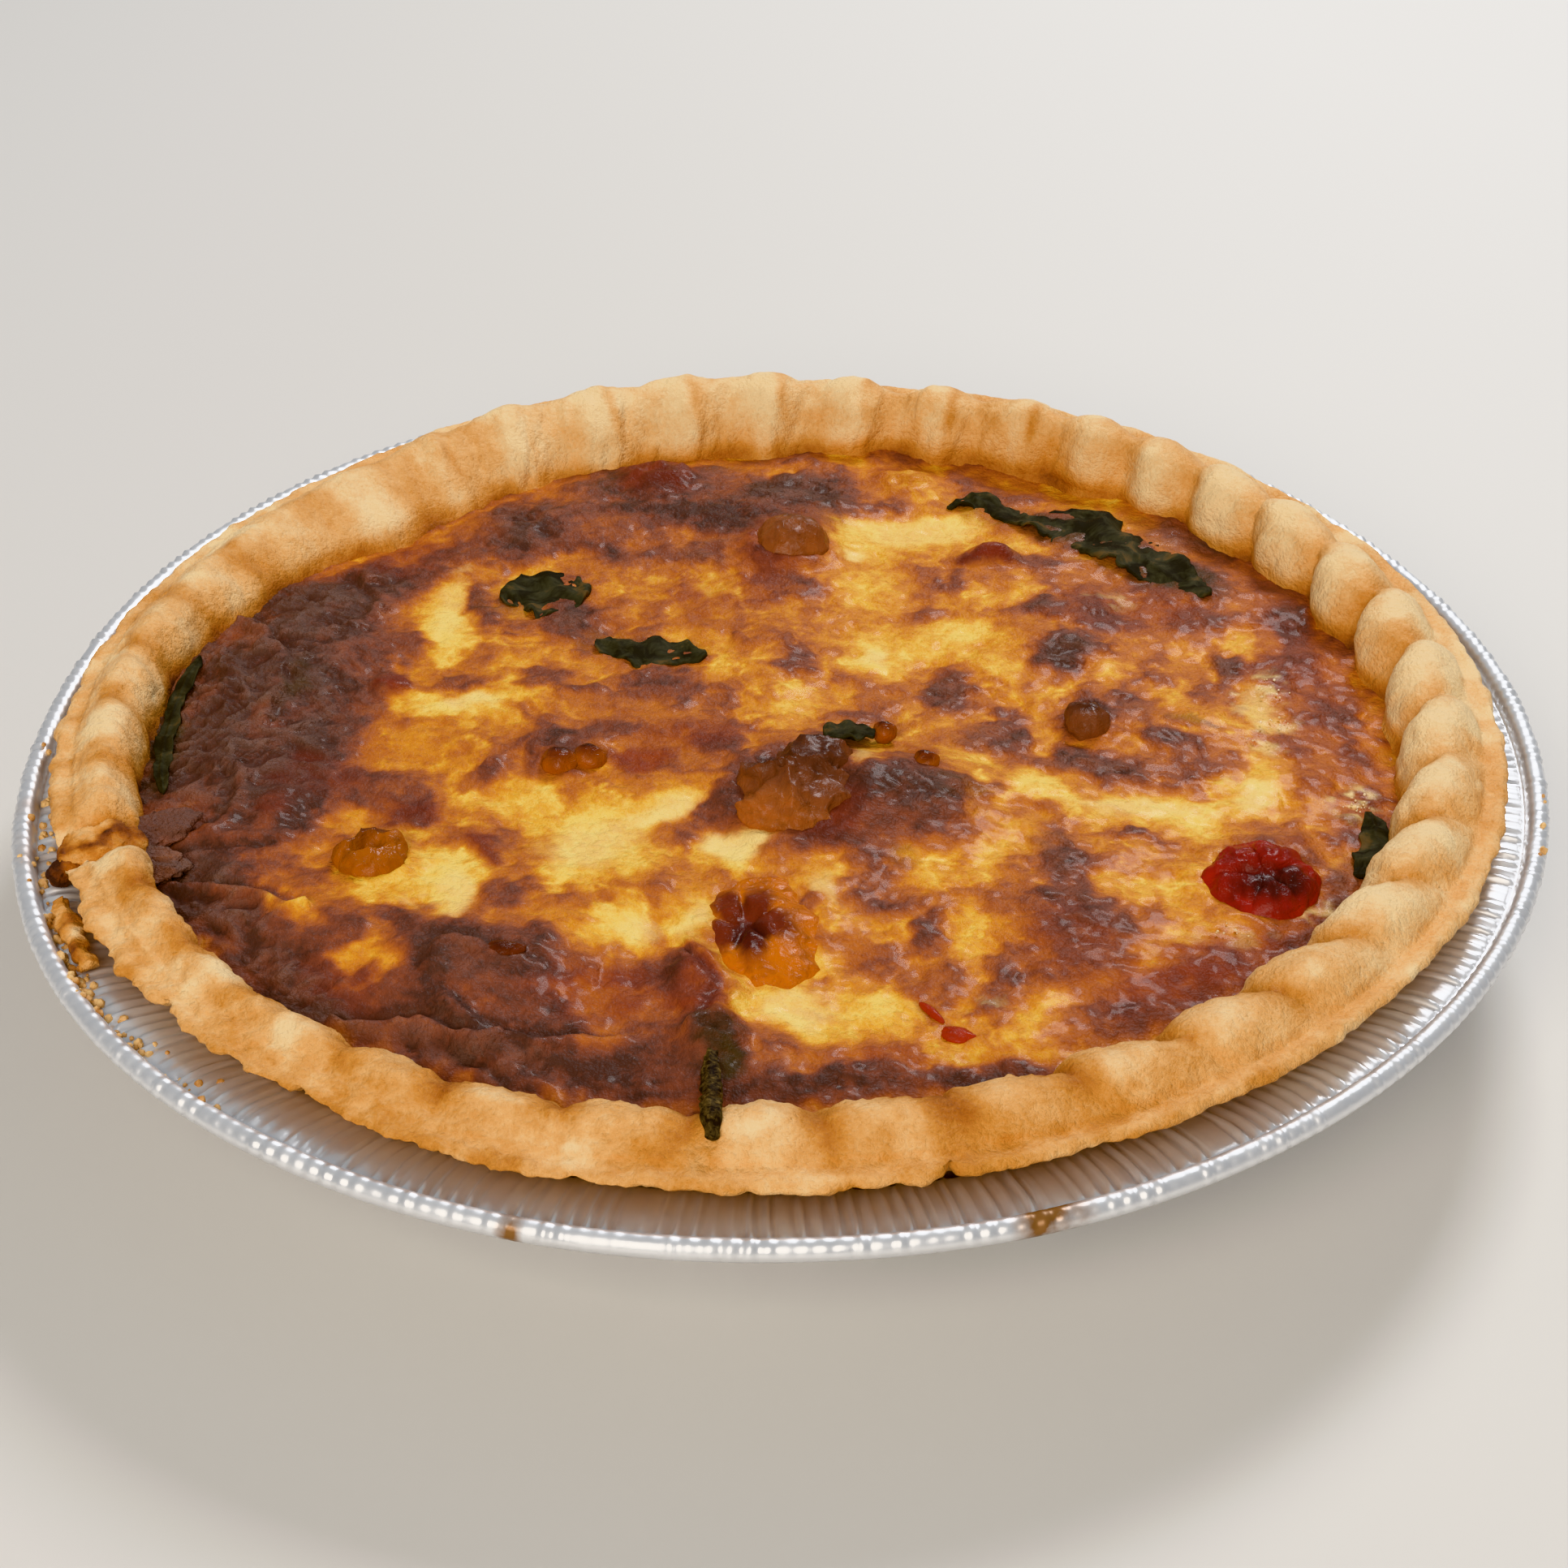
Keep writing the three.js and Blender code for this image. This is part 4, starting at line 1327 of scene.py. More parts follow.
# Where it has browned to the colour of coffee.
BROWN = (
    P(-84, 3, 20, 34), P(-76, 36, 16, 10, 0.95, -30), P(-68, 46, 8, 9), P(-81, 46, 6, 4, 0.8),
    P(-70, 14, 7, 14, 0.7), P(-70, -4, 6, 8, 0.75), P(-76, -23.5, 4, 5, 0.9),
    P(-88, -32, 9, 6, 0.85, -40), P(-82, -47, 16, 7, 1, -52), P(-66, -66, 18, 6.4, 1, -42),
    P(-45, -79, 16, 6.4, 1, -26), P(-22, -85, 14, 5, 0.95, -8), P(-72, -40, 7, 4, 0.5, -40),
    P(-44, -62, 9, 9, 1, -30), P(-36, -72, 9, 5, 0.85, -20), P(-36, -62, 8, 7, 0.85),
    P(-25, -66, 9, 6, 0.5, -10), P(-12, -66, 5, 9, 0.8, 20), P(-54, -53, 3.6, 7, 0.85, 8),
    P(-62, -51, 4, 4, 0.5), P(-8, -82, 4, 8, 0.9), P(4, -89, 9, 3, 0.6), P(14, -87, 7, 3),
    P(30, -87, 11, 2.6, 0.65, 8), P(54, -72, 17, 4.4, 0.7, 22), P(45, -57, 7, 12, 0.62, 10),
    P(38, -66, 6, 6, 0.4), P(24, -67, 4, 4, 0.45), P(72, -62, 9, 3, 0.6, 36),
    P(84, -47, 5, 10, 0.6, -35), P(17, -51, 4, 3, 0.5), P(22.5, -56, 3, 4, 0.55),
    P(9, -58, 5, 2.6, 0.4, -20), P(43, -37, 4.6, 7.4, 0.65), P(56, -31.5, 7, 1.6, 0.55, -6),
    P(21, -26, 10, 8, 0.66, -20), P(10, -31, 8, 6, 0.7, -30), P(5, -22, 14, 15, 0.85),
    P(52, -13, 9, 4.4, 0.85, -8), P(35, -4, 4.6, 5.4, 0.75), P(62, -7, 4, 3, 0.55),
    P(71, -11, 4, 5, 0.45, 20), P(51, 2, 4, 4.6, 0.95), P(60, 4, 3.6, 4, 0.5),
    P(38, 2, 2.4, 4, 0.5), P(30, 10.5, 4.6, 7.6, 0.8), P(20, 8, 3.6, 5, 0.4, -20),
    P(50, 22, 7.4, 5.4, 0.85, 15), P(47, 36, 4, 3.6, 0.6, -20), P(55, 36, 4, 6, 0.35),
    P(64, 34, 14, 8, 0.4, -20), P(76, 18, 3, 6.4, 0.85, 8), P(85, 17, 5, 3, 0.35),
    P(92, 4, 4, 6, 0.55), P(4.5, 18, 2.8, 3.8, 0.7), P(11, 16, 2.2, 2.8, 0.55),
    P(15, 2, 4, 2.4, 0.55), P(46, 53, 6, 3, 0.4), P(38.5, 52.5, 5, 2, 0.8),
    P(74, 62, 9, 6, 0.75, -45), P(87, 45, 6, 12, 0.5, 20), P(60, 47, 10, 4, 0.35, -20),
    P(5, 77, 9, 8, 0.85), P(14, 80, 3, 8, 0.6), P(3, 56, 8, 11, 0.55), P(5, 43, 6, 4, 0.4),
    P(-12, 68, 12, 5, 0.9), P(-12, 55, 7, 5, 0.7, 10), P(-24, 82, 9, 7, 0.8, 15),
    P(-10, 82, 7, 6, 0.6), P(-44, 65, 8, 9, 0.9), P(-34, 60, 7, 5, 0.65, -20),
    P(-62, 56, 13, 7, 0.45, 38), P(-28, 70, 10, 6, 0.4), P(-49, 42, 2.4, 5, 0.5),
    P(-25, 54, 6, 4, 0.35), P(-34, 34, 7, 7, 0.9, -30), P(-10, 34, 8, 6, 0.3),
    P(-48, 20, 4, 2.6, 0.5, 30), P(-50, 13.5, 5.4, 2.6, 0.6, 10), P(-36.5, 13.5, 4, 4.6, 0.7),
    P(-62, 12, 3, 3.4, 0.95), P(-17, 13.5, 6, 4, 0.7), P(-61, 24, 5, 5, 0.55),
    P(-32, -6, 6, 5, 0.75), P(-37, -3, 4, 3.4, 0.4), P(-12, -4, 10, 5.4, 0.62, 10),
    P(-20, -11, 5, 3.4, 0.55), P(-56, -22, 6, 2.6, 0.4, 5), P(-45, -14, 5, 3, 0.4, 20),
    P(-44, -33, 1.8, 5, 0.5, 15), P(-39, -42, 4, 5, 0.35, 20), P(-30, -49, 7, 2.4, 0.3),
    P(-14, -43, 5, 3.4, 0.3), P(-15, -55, 1.6, 5, 0.5, 15), P(-60, -14, 8, 3, 0.3, 15),
    P(-72, -28, 8, 4, 0.4), P(92, -12, 4, 12, 0.4), P(88, 30, 4, 8, 0.35),
    P(56, 61, 17, 6, 0.9, -38), P(72, 46, 10, 7, 0.95, -48), P(-22, 72, 34, 16, 0.6, 8),
    P(20, 78, 14, 8, 0.35), P(68, -64, 26, 8, 0.45, 34), P(88, 6, 9, 40, 0.42),
    P(-80, -26, 12, 12, 0.5), P(-20, -80, 32, 9, 0.55, -6), P(24, -88, 30, 3, 0.4, 6),
)
# Redder stains, from tomato juice.
RED = (
    P(-20, 84, 7, 8, 0.55), P(3, 56, 7, 10, 0.5), P(-20, -11, 4.4, 3, 0.8), P(-62, 12, 3, 3, 0.8),
    P(-12, -4, 10, 5, 0.4, 10), P(-4, -52, 6, 9, 0.45), P(38.5, 52.5, 4.6, 2),
    P(-10, -68, 5, 9, 0.5), P(-10, 42, 12, 8, 0.3), P(23, -72, 1.2, 4, 0.95, 25),
    P(-25, -68, 9, 6, 0.5), P(-72, -14, 9, 6, 0.35), P(60, 36, 14, 8, 0.3, -10),
    P(86, 8, 8, 34, 0.3), P(72, -36, 9, 2, 0.5), P(-64, 56, 9, 6, 0.4, 38), P(25, 84, 6, 6, 0.3),
    P(43, -58, 6, 8, 0.35), P(-76, -23.5, 3, 4, 0.5), P(-44, -33, 2, 5, 0.5, 15),
    P(-56, -23, 6, 3, 0.4), P(24, -9, 2.4, 3, 0.6), P(-60, -68, 10, 3, 0.35, -40),
    P(60, -65, 15, 6, 0.55, 26), P(20, -83, 12, 2, 0.4), P(8, -28, 6, 7, 0.45),
)
# Greyer skin, where it has dried hardest.
GREY = (
    P(-86, 4, 18, 28, 0.95), P(-78, 36, 13, 10, 0.8, -30), P(-82, -46, 14, 6, 0.85, -52),
    P(-66, -68, 16, 4.6, 0.75, -42), P(5, 77, 8, 7, 0.7), P(50, 22, 6, 4, 0.7, 15),
    P(30, 10, 4, 6, 0.75), P(-44, 65, 7, 8, 0.6), P(-43, -62, 8, 6, 0.35, -30),
    P(43, -37, 4, 7, 0.6), P(24, -25, 8, 5, 0.35, -14), P(-42, -81, 12, 4.6, 0.45, -26),
    P(-12, 55, 6, 4, 0.5), P(52, -13, 8, 3.4, 0.5, -4), P(86, -45, 5, 8, 0.6, -20),
    P(76, 17, 2.6, 5, 0.6, 8), P(47, 37, 3.4, 3, 0.5), P(-33, 35, 4, 4, 0.6), P(-67, 46, 5, 5, 0.5),
    P(35, -4, 4, 5, 0.4), P(60, 4, 3, 3, 0.45), P(-32, -5, 4, 3, 0.4), P(72, 62, 8, 5, 0.5, -45),
    P(45, -55, 5, 9, 0.3),
)
# Green from the spinach under the skin.
GREEN = (
    P(29, -22, 5, 3, 0.7, -20), P(19, -37, 3, 2.4, 0.5), P(58, 51, 7, 2.4, 0.6, -30),
    P(-8, 88, 4, 3, 0.4), P(68, -1, 4, 1.2, 0.75, -30), P(13, -12, 3, 5, 0.4),
    P(13, 68, 4, 5, 0.35), P(54, 62, 14, 4.4, 0.9, -36), P(70, 47, 9, 5, 0.9, -48),
    P(-97, 0, 3, 18, 0.7), P(-78, 12, 1.6, 8, 0.45, -12), P(-8, -82, 3.4, 6, 0.7),
    P(-44, 40, 5, 6, 0.6), P(-24, 24, 9, 5, 0.5, -30), P(40, 72, 6, 5, 0.5, -40),
    P(70, -17, 2, 1, 0.3),
)
# Dried white froth, in specks.
FROTH = (
    P(90, -24, 3.4, 5, 0.85), P(78, -52, 4, 2.6, 0.5, -20), P(66, -58, 5, 3, 0.25),
    P(82, 9, 3, 5, 0.7), P(77, 6, 3, 4, 0.6), P(82, -1, 3, 3, 0.6), P(79, -6, 3, 4, 0.6),
    P(-50, -44, 3, 6, 0.4), P(30, -72, 3, 2, 0.25), P(60, 40, 4, 3, 0.3),
)
# Skins and strands that stand up under the surface; the strength is a height in mm.
LUMPS = (
    P(-9, -79, 4.5, 5, 1.8, 10), P(-10.5, -68, 3.4, 8, 1.3, 15), P(-20, 84, 7, 6, 1.4),
    P(25, 84, 5, 4, 0.8), P(-62, 12, 3, 3), P(38.5, 53, 5, 2.6, 0.8), P(-32, -7, 7, 5, 0.8),
    P(-44, 66, 8, 7, 0.8), P(-76, -23, 4, 5, 0.9),
)
# Long folds of the dried skin, each from one end of its crack to the other.
CREASES = (
    Crease(((-22, -78), (-31, -78.6), (-39, -78.4), (-43, -76.8), (-46, -75), (-52, -74.6),
            (-59, -74)), 1.3),
    Crease(((-49, -85), (-41, -87.5), (-34, -91)), 0.7),
    Crease(((-42, -82), (-37.5, -86), (-31, -90.5)), 0.8),
    Crease(((-39, -60), (-43.5, -57.4), (-47.4, -58.6), (-49, -63)), 0.9),
    Crease(((-38.5, -77.5), (-40, -74.8), (-44, -72)), 0.9),
    Crease(((-70, -49), (-73.5, -45.6), (-78, -43.4), (-84, -41.4), (-90, -41.8)), 1.4),
    Crease(((-95.5, -12.4), (-92, -10.8), (-88, -12.4), (-84.3, -16.5), (-83.6, -23),
            (-86.4, -28.6)), 0.8),
    Crease(((-79.5, 2), (-78.6, 9), (-79.2, 18), (-83, 27.4), (-88.4, 36)), 1.0),
    Crease(((-90, -33.4), (-84, -34), (-80, -33.4), (-75, -32)), 0.8),
    Crease(((-92, 6), (-88, 9), (-86, 15), (-89, 22)), 0.7),
    Crease(((-74, 48), (-69, 42), (-69, 35), (-73, 30)), 0.7),
    Crease(((-12, -60), (-8.4, -66), (-8, -72), (-11, -77)), 0.9),
)
# The palest curds of cheese.
CREAM = (
    P(-5.5, -34.5, 4, 3.6, 0.85), P(-17, -24, 7, 2.2, 0.7, 35), P(-47, -46, 2.6, 7, 0.6, 10),
    P(-49, 6, 4.6, 2.2, 0.65, 4), P(74, -21, 3.4, 3.6, 0.65), P(17, 22, 2.6, 4, 0.6, -25),
    P(4, -73, 5, 3.4, 0.55, 8), P(27, 65, 9, 4.4, 0.4, 8), P(-54, 36, 2.4, 10, 0.4, 4),
    P(-28, -33, 7, 6, 0.5, 20), P(56, -24, 11, 2, 0.55, -8), P(-18, -54, 4, 2.4, 0.5),
    P(80, 2, 2.4, 6, 0.4), P(15.4, 55.5, 2, 2, 0.8), P(8, -46, 1.4, 4, 0.5, 40),
    P(15, -15, 2.4, 3.6, 0.4), P(-11, -52, 1.6, 5, 0.5, 5), P(-55, 51, 3, 1.6, 0.5),
)


@dataclass
class Filling:
    """The baked egg filling: browned blisters over smooth yellow custard."""

    crust: Crust
    level: float = 30.2
    edge_fall: float = 1.3
    edge_from: float = 85
    edge_to: float = 97
    rings: int = 150
    floor_columns: int = 180
    gap: float = 0.3  # from the case's floor
    wall_height: float = 29.4  # where the surface meets the case
    overlap: float = 2.6  # how far the surface runs on into the case
    hidden_tone: float = 0.4
    octaves: Rows = ((22, 0.9), (9, 0.45))
    # x, y, half-widths and height of each mound and hollow.
    mounds: Rows = (
        (21, -21, 13, 11, 3.2), (8, -20, 15, 15, 1.6), (4, 57, 11, 10, 1.5),
        (-42, -62, 14, 10, 2.2), (-84, 4, 12, 34, 1.5), (-66, -55, 16, 10, 1.2),
        (44, -56, 9, 14, 1.3), (50, 24, 9, 8, 1.0), (39, 53.5, 5, 3.4, 2.0),
        (-22, 68, 26, 9, 1.2), (-24, -30, 15, 10, -0.9), (8, -75, 10, 6, -0.8),
        (28, 66, 13, 8, -0.7),
    )

    @staticmethod
    def lattice_value(i: Array, j: Array) -> Array:
        """The part source's repeatable value for a pair of whole numbers."""
        s = np.sin(i * 127.1 + j * 311.7 + 17.3) * 43758.5453
        return s - np.floor(s)

    def swell(self, x: Array, y: Array) -> Array:
        """The part source's smooth noise.

        Args:
            x: Places in lattice steps.
            y: The same along Y.

        Returns:
            Values from -1 to 1.
        """
        i, j = np.floor(x), np.floor(y)
        u, v = smoothstep(0, 1, x - i), smoothstep(0, 1, y - j)
        low = self.lattice_value(i, j) * (1 - u) + self.lattice_value(i + 1, j) * u
        high = self.lattice_value(i, j + 1) * (1 - u) + self.lattice_value(i + 1, j + 1) * u
        return 2 * (low * (1 - v) + high * v) - 1

    def surface(self, x: Array, y: Array) -> Array:
        """Height of the solid's surface, before its fine relief.

        Args:
            x: Places, in mm.
            y: The same along Y.

        Returns:
            The height at each place.
        """
        x, y = np.asarray(x, float), np.asarray(y, float)
        height = self.level + 0 * x
        for size, reach in self.octaves:
            height = height + reach * self.swell(x / size + 40, y / size + 40)
        for mx, my, rx, ry, reach in self.mounds:
            height = height + reach * np.exp(-(((x - mx) / rx) ** 2) - ((y - my) / ry) ** 2)
        edge = smoothstep(self.edge_from, self.edge_to, np.hypot(x, y))
        return height - self.edge_fall * edge

    def build(self) -> None:
        """Makes the filling."""
        floor = self.crust.floor()[1] + self.gap
        low = columns_round(self.floor_columns)
        bottom = polar(low, self.crust.inner_wall(low, floor) - 2 * self.gap, floor)
        counts = [max(1, 6 * step) for step in range(self.rings, -1, -1)]
        steps = np.repeat(np.arange(self.rings, -1, -1), counts)
        azimuth = np.concatenate([columns_round(count) for count in counts])
        wall = self.crust.inner_wall(azimuth, self.wall_height) + self.overlap
        skin = polar(azimuth, wall * steps / self.rings, 0)
        rim_share = steps / self.rings
        values = self.colour(skin[:, :2], rim_share)
        skin[:, 2] = self.surface(skin[:, 0], skin[:, 1])
        skin[:, 2] += self.relief(skin[:, :2], values) * smoothstep(1.0, 0.985, rim_share)
        hidden = np.full(1 + self.floor_columns, self.hidden_tone)
        listed = {name: np.concatenate([hidden if name == "tone" else 0 * hidden, value])
                  for name, value in values.items()}
        shape = Shape(np.concatenate([[[0, 0, floor]], bottom, skin]),
                      stack_rings([1, self.floor_columns, *counts]), listed)
        hand_over(shape.to_object("filling_custard", CUSTARD), "custard", "filling")

    def colour(self, places: Array, rim_share: Array) -> dict[str, Array]:
        """Browning and tints of the surface, with painted light and shade on its folds and creases.

        Args:
            places: Points on it, x and y.
            rim_share: How far out each is, with 1 at the crust.

        Returns:
            The named values that the custard's material reads.
        """
        warp = np.stack([
            2.8 * fractal(places, 8, 4, 101) + 0.9 * noise(places, 1.7, 105),
            2.8 * fractal(places, 8, 4, 111) + 0.9 * noise(places, 1.7, 115),
        ], -1)
        bent = places + warp
        yellow, brown = cover_all(YELLOW, bent), cover_all(BROWN, bent)
        blotches = np.tanh(2.4 * fractal(bent, 8, 4, 121))
        blotches = np.where(blotches > 0, 0.3, 0.2) * blotches
        blotches += 0.13 * noise(bent, 2.8, 131) + 0.08 * noise(bent, 1.4, 133)
        blotches -= 0.2 * smoothstep(0.6, 0.95, ridged(bent, 7, 137)) * (1 - brown)
        tone = 0.45 + 0.48 * brown
        tone = tone + (0.06 - tone) * yellow * (1 - 0.6 * brown)
        tone = tone + blotches * (1 - 0.6 * np.maximum(yellow, 0.8 * brown))
        tone = tone + 0.14 * smoothstep(0.95, 1.0, rim_share)
        # Painted light and shade: browned skin is lighter on the tops of its folds and darker in
        # their valleys.
        tone = tone - 0.2 * self.folds(places) * brown
        # Painted shade in the cracks of the long folds, and painted light on their raised sides.
        raised, cracked = crease_all(CREASES, places)
        tone = tone + 0.3 * cracked - 0.1 * raised
        froth = cover_all(FROTH, bent) * smoothstep(-0.1, 0.5, fractal(places, 1.6, 2, 155))
        streak = noise(bent * np.array([1.0, 2.6]), 6, 141) * 0.5 + 0.5
        return {
            "tone": np.clip(tone, 0, 1),
            "red": cover_all(RED, bent) * (0.5 + 0.7 * streak),
            # The grey of the dried skin, made stronger on the tops of its folds and weaker in their
            # valleys as painted light and shade.
            "grey": cover_all(GREY, bent) * np.clip(0.55 + 1.3 * self.folds(places), 0, 1),
            "green": cover_all(GREEN, bent) * (0.6 + 0.5 * noise(bent, 2.2, 151)),
            "cream": np.maximum(cover_all(CREAM, bent) * smoothstep(0.62, 0.3, tone), froth),
        }

    @staticmethod
    def folds(places: Array) -> Array:
        """Wrinkles of the dried skin.

        Args:
            places: Points, x and y.

        Returns:
            Values from about -0.6 in a valley to 0.8 on a fold.
        """
        bent = places + 2.4 * noise(places, 9, 161)[:, None]
        turned = bent @ np.array([[0.8, 0.6], [-0.75, 1.0]])
        return 0.7 * ridged(turned, 5.2, 165) + 0.75 * ridged(turned, 2.3, 167) - 0.75

    def relief(self, places: Array, values: dict[str, Array]) -> Array:
        """Fine height of the surface: browned parts stand up in blisters and folds.

        Args:
            places: Points, x and y.
            values: What colour() gave for them.

        Returns:
            The height over the plain surface, in mm.
        """
        browned = smoothstep(0.35, 0.85, values["tone"])
        dried = np.clip(0.75 * cover_all(GREY, places) + 0.3 * browned, 0, 1)
        folds = self.folds(places)
        lumps = 0.36 * fractal(places, 5, 4, 171) + 0.15 * noise(places, 1.6, 181)
        pits = np.maximum(0, noise(places, 2.4, 175) - 0.4)
        collar = 0 * browned
        for tomato in TOMATOES:
            dx, dy = places[:, 0] - tomato.x, places[:, 1] - tomato.y
            away = np.hypot(dx / tomato.radii[0], dy / tomato.radii[1])
            collar = collar + 0.14 * tomato.radii[2] * np.exp(-(((away - 1.05) / 0.3) ** 2))
        raised, cracked = crease_all(CREASES, places)
        collar = collar + raised - 0.7 * cracked
        for lump in LUMPS:
            collar = collar + lump.cover(places) * (1 + 0.5 * noise(places, 2.2, 177))
        return (0.5 * browned + 1.2 * folds * dried + lumps * (0.7 + 0.5 * browned)
                - 0.6 * pits + collar - 0.15)


# ---- toppings


class Form(Enum):
    """How a tomato has collapsed."""

    DOME = "still round"
    SUNKEN = "its top has fallen in as a star"
    CURLED = "its edge stands round a hollow"


@dataclass(frozen=True)
class Tomato:
    """A baked tomato that stands out of the filling."""

    name: str
    x: float
    y: float
    radii: tuple[float, float, float]
    top: float
    finish: BakedTomato
    node: str = ""
    slot: str = "tomato_brown"
    wrinkles: int = 3
    depth: float = 0.05
    hollow: float = 0.0
    turn: float = 0.0
    form: Form = Form.DOME
    skin: Patch = P(0, 0, 0.8, 0.8)  # in the tomato's own half-widths
    char: Patch = P(0, 0.4, 0.6, 0.5)
    root: float = 2.2
    rough: float = 1.0

    def shape(self, filling: Filling) -> Shape:
        """Makes its surface: wrinkles run down its sides, and its top may sink.

        Args:
            filling: What it is sunk in.

        Returns:
            The shape, with values for its skin and char.
        """
        rx, ry, rz = self.radii
        small = rx < 5
        columns, rows = (48, 22) if small else (120, 46)
        under = self.top - rz - float(filling.surface(self.x, self.y)) + self.root
        base = math.asin(-min(1.0, max(-0.2, under / rz)))
        climb = np.linspace(base, math.pi / 2, rows)[:-1, None]
        angle = np.radians(columns_round(columns))[None, :]
        away = np.cos(climb)
        fold = np.cos(self.wrinkles * angle + 1.3 * np.sin(2 * angle))
        size = 1 + self.depth * fold * np.sqrt(np.sin(math.pi * np.minimum(away, 0.999)))
        px, py = size * away * np.cos(angle), size * away * np.sin(angle)
        flat = np.stack([px, py], -1)
        sink = self.hollow * np.exp(-((away / 0.5) ** 2)) * np.ones_like(angle)
        star = 0 * px
        if self.form is Form.SUNKEN:
            sx, sy = px - self.skin.x, py - self.skin.y
            spread = np.hypot(sx / self.skin.rx, sy / self.skin.ry)
            arms = np.abs(np.cos(2.5 * np.arctan2(sy, sx) + 0.8))
            star = smoothstep(1.5, 0.5, spread / (0.6 + 0.5 * arms))
            sink = self.hollow * smoothstep(1.1, 0.1, spread / (0.5 + 0.6 * (1 - arms) ** 2))
        if self.form is Form.CURLED:
            sink = 1.7 * self.hollow * smoothstep(0.62, 0.3, np.hypot(px + 0.1, py * 1.5))
        height = np.sin(climb) - sink
        t = math.radians(self.turn)
        x = self.x + rx * px * math.cos(t) - ry * py * math.sin(t)
        y = self.y + rx * px * math.sin(t) + ry * py * math.cos(t)
        grid = np.stack([x, y, self.top - rz + rz * height], -1)
        reach = min(rx, ry) / 8
        relief = reach * self.rough * (0.9 * fractal(grid, 6 * max(reach, 0.5), 3, 201)
                                       + 0.7 * (ridged(grid, 4.6 * max(reach, 0.5), 211) - 0.4))
        relief = relief + 0.12 * reach * noise(grid, 1.5, 213)
        relief = relief + 0.3 * reach * self.rough * (ridged(grid, 2.4, 219) - 0.4)
        flat_grid = grid * np.array([1, 1, 0])
        relief = relief + 0.6 * star * (ridged(flat_grid, 3.2, 215) - 0.3)
        grid = grid + grid_normals(grid) * (relief * smoothstep(0, 0.3, climb - base))[..., None]
        cover = self.skin.cover(flat) if self.form is not Form.SUNKEN else self.skin.strength * star
        skin = cover + 0.15 * noise(grid, 2.4, 221)
        char = self.char.cover(flat) + 0.2 * noise(grid, 1.7, 225) * (self.char.strength > 0)
        return cap_rings(grid, (self.x, self.y, grid[0, :, 2].min()), grid[-1].mean(axis=0),
                         skin=(skin, 0, skin[-1].mean()), char=(char, 0, char[-1].mean()))


TOMATOES = (
    Tomato("red_tomato_half", 72.2, -44.9, (8.8, 9.2, 4.8), 34.4, RED_TOMATO, "red_tomato",
           "tomato_red", wrinkles=9, depth=0.07, hollow=0.3, turn=10, form=Form.SUNKEN,
           skin=P(0.0, -0.15, 0.95, 0.85, 0.8), char=P(0.05, -0.4, 0.6, 0.4)),
    Tomato("orange_tomato_half", -0.8, -54.4, (8.8, 14.4, 3.4), 32.2, ORANGE_TOMATO,
           "orange_tomato", "tomato_orange", wrinkles=5, depth=0.08, hollow=0.5, turn=8,
           form=Form.SUNKEN, skin=P(-0.3, 0.04, 0.7, 0.56, 1.25),
           char=P(-0.3, -0.2, 0.3, 0.3, 0.8, 20), rough=0.7),
    Tomato("browned_tomato_whole", 4.6, -21.3, (10.2, 12.4, 7.0), 36.4, BROWN_TOMATO,
           "browned_tomato", wrinkles=4, depth=0.12, turn=-25, skin=P(0.0, 0.2, 1.4, 0.8, 1.1),
           char=P(-0.3, 0.4, 0.9, 0.55, 0.8), rough=2.1),
    Tomato("back_tomato_whole", 4.2, 56.6, (6.9, 6.6, 6.4), 36.6, BROWN_TOMATO, "back_tomato",
           depth=0.04, skin=P(0, 0, 1.2, 1.2, 0.7), char=P(0.2, 0.5, 0.5, 0.5, 0.4)),
    Tomato("tomato_bead_browned", 50.8, -1.6, (3.8, 3.9, 4.2), 34.4, BROWN_TOMATO,
           "tomato_bead", depth=0.08, skin=P(0, 0, 1.6, 1.6, 1.2), char=P(0, 0.3, 0.9, 0.7, 0.8),
           rough=1.6),
    Tomato("tomato_curl_amber", -59.6, -36.6, (5.4, 5.0, 3.6), 34.3, AMBER_TOMATO,
           "tomato_curl", "tomato_orange", depth=0.12, hollow=0.42, turn=30,
           form=Form.CURLED, skin=P(0, 0.8, 1.3, 0.5, 1.1),
           char=P(0.1, 0.95, 1.0, 0.3, 0.9), rough=1.8),
)

DRIED_BEADS = (
    Tomato("bead", -33.0, -11.4, (3.0, 2.7, 2.6), 33.0, BEAD_TOMATO),
    Tomato("bead", -28.4, -10.3, (2.7, 2.5, 2.4), 32.9, BEAD_TOMATO),
    Tomato("bead", 24.2, -16.2, (1.9, 1.7, 1.8), 35.2, BEAD_TOMATO, depth=0.2, rough=3),
    Tomato("bead", 18.2, -5.8, (1.8, 1.5, 1.8), 33.8, BEAD_TOMATO, depth=0.2, rough=3),
    Tomato("bead", -37.6, -62.0, (2.8, 1.5, 1.0), 33.6, BEAD_TOMATO, depth=0.2, rough=2,
           skin=P(0, 0, 1.6, 1.6, 1.1), char=P(0, 0, 1, 1, 0.6)),
)
PEPPER_CHIPS = (
    Tomato("chip", 25.6, -78.2, (2.5, 1.7, 0.8), 30.2, PEPPER, skin=P(0, 0, 1, 1, 0),
           char=P(0, 0, 1, 1, 0), depth=0.3, turn=-15),
    Tomato("chip", 22.2, -73.4, (0.7, 2.8, 0.7), 30.2, PEPPER, turn=35,
           skin=P(0, 0, 1, 1, 0.2), char=P(0, 0, 1, 1, 0)),
)


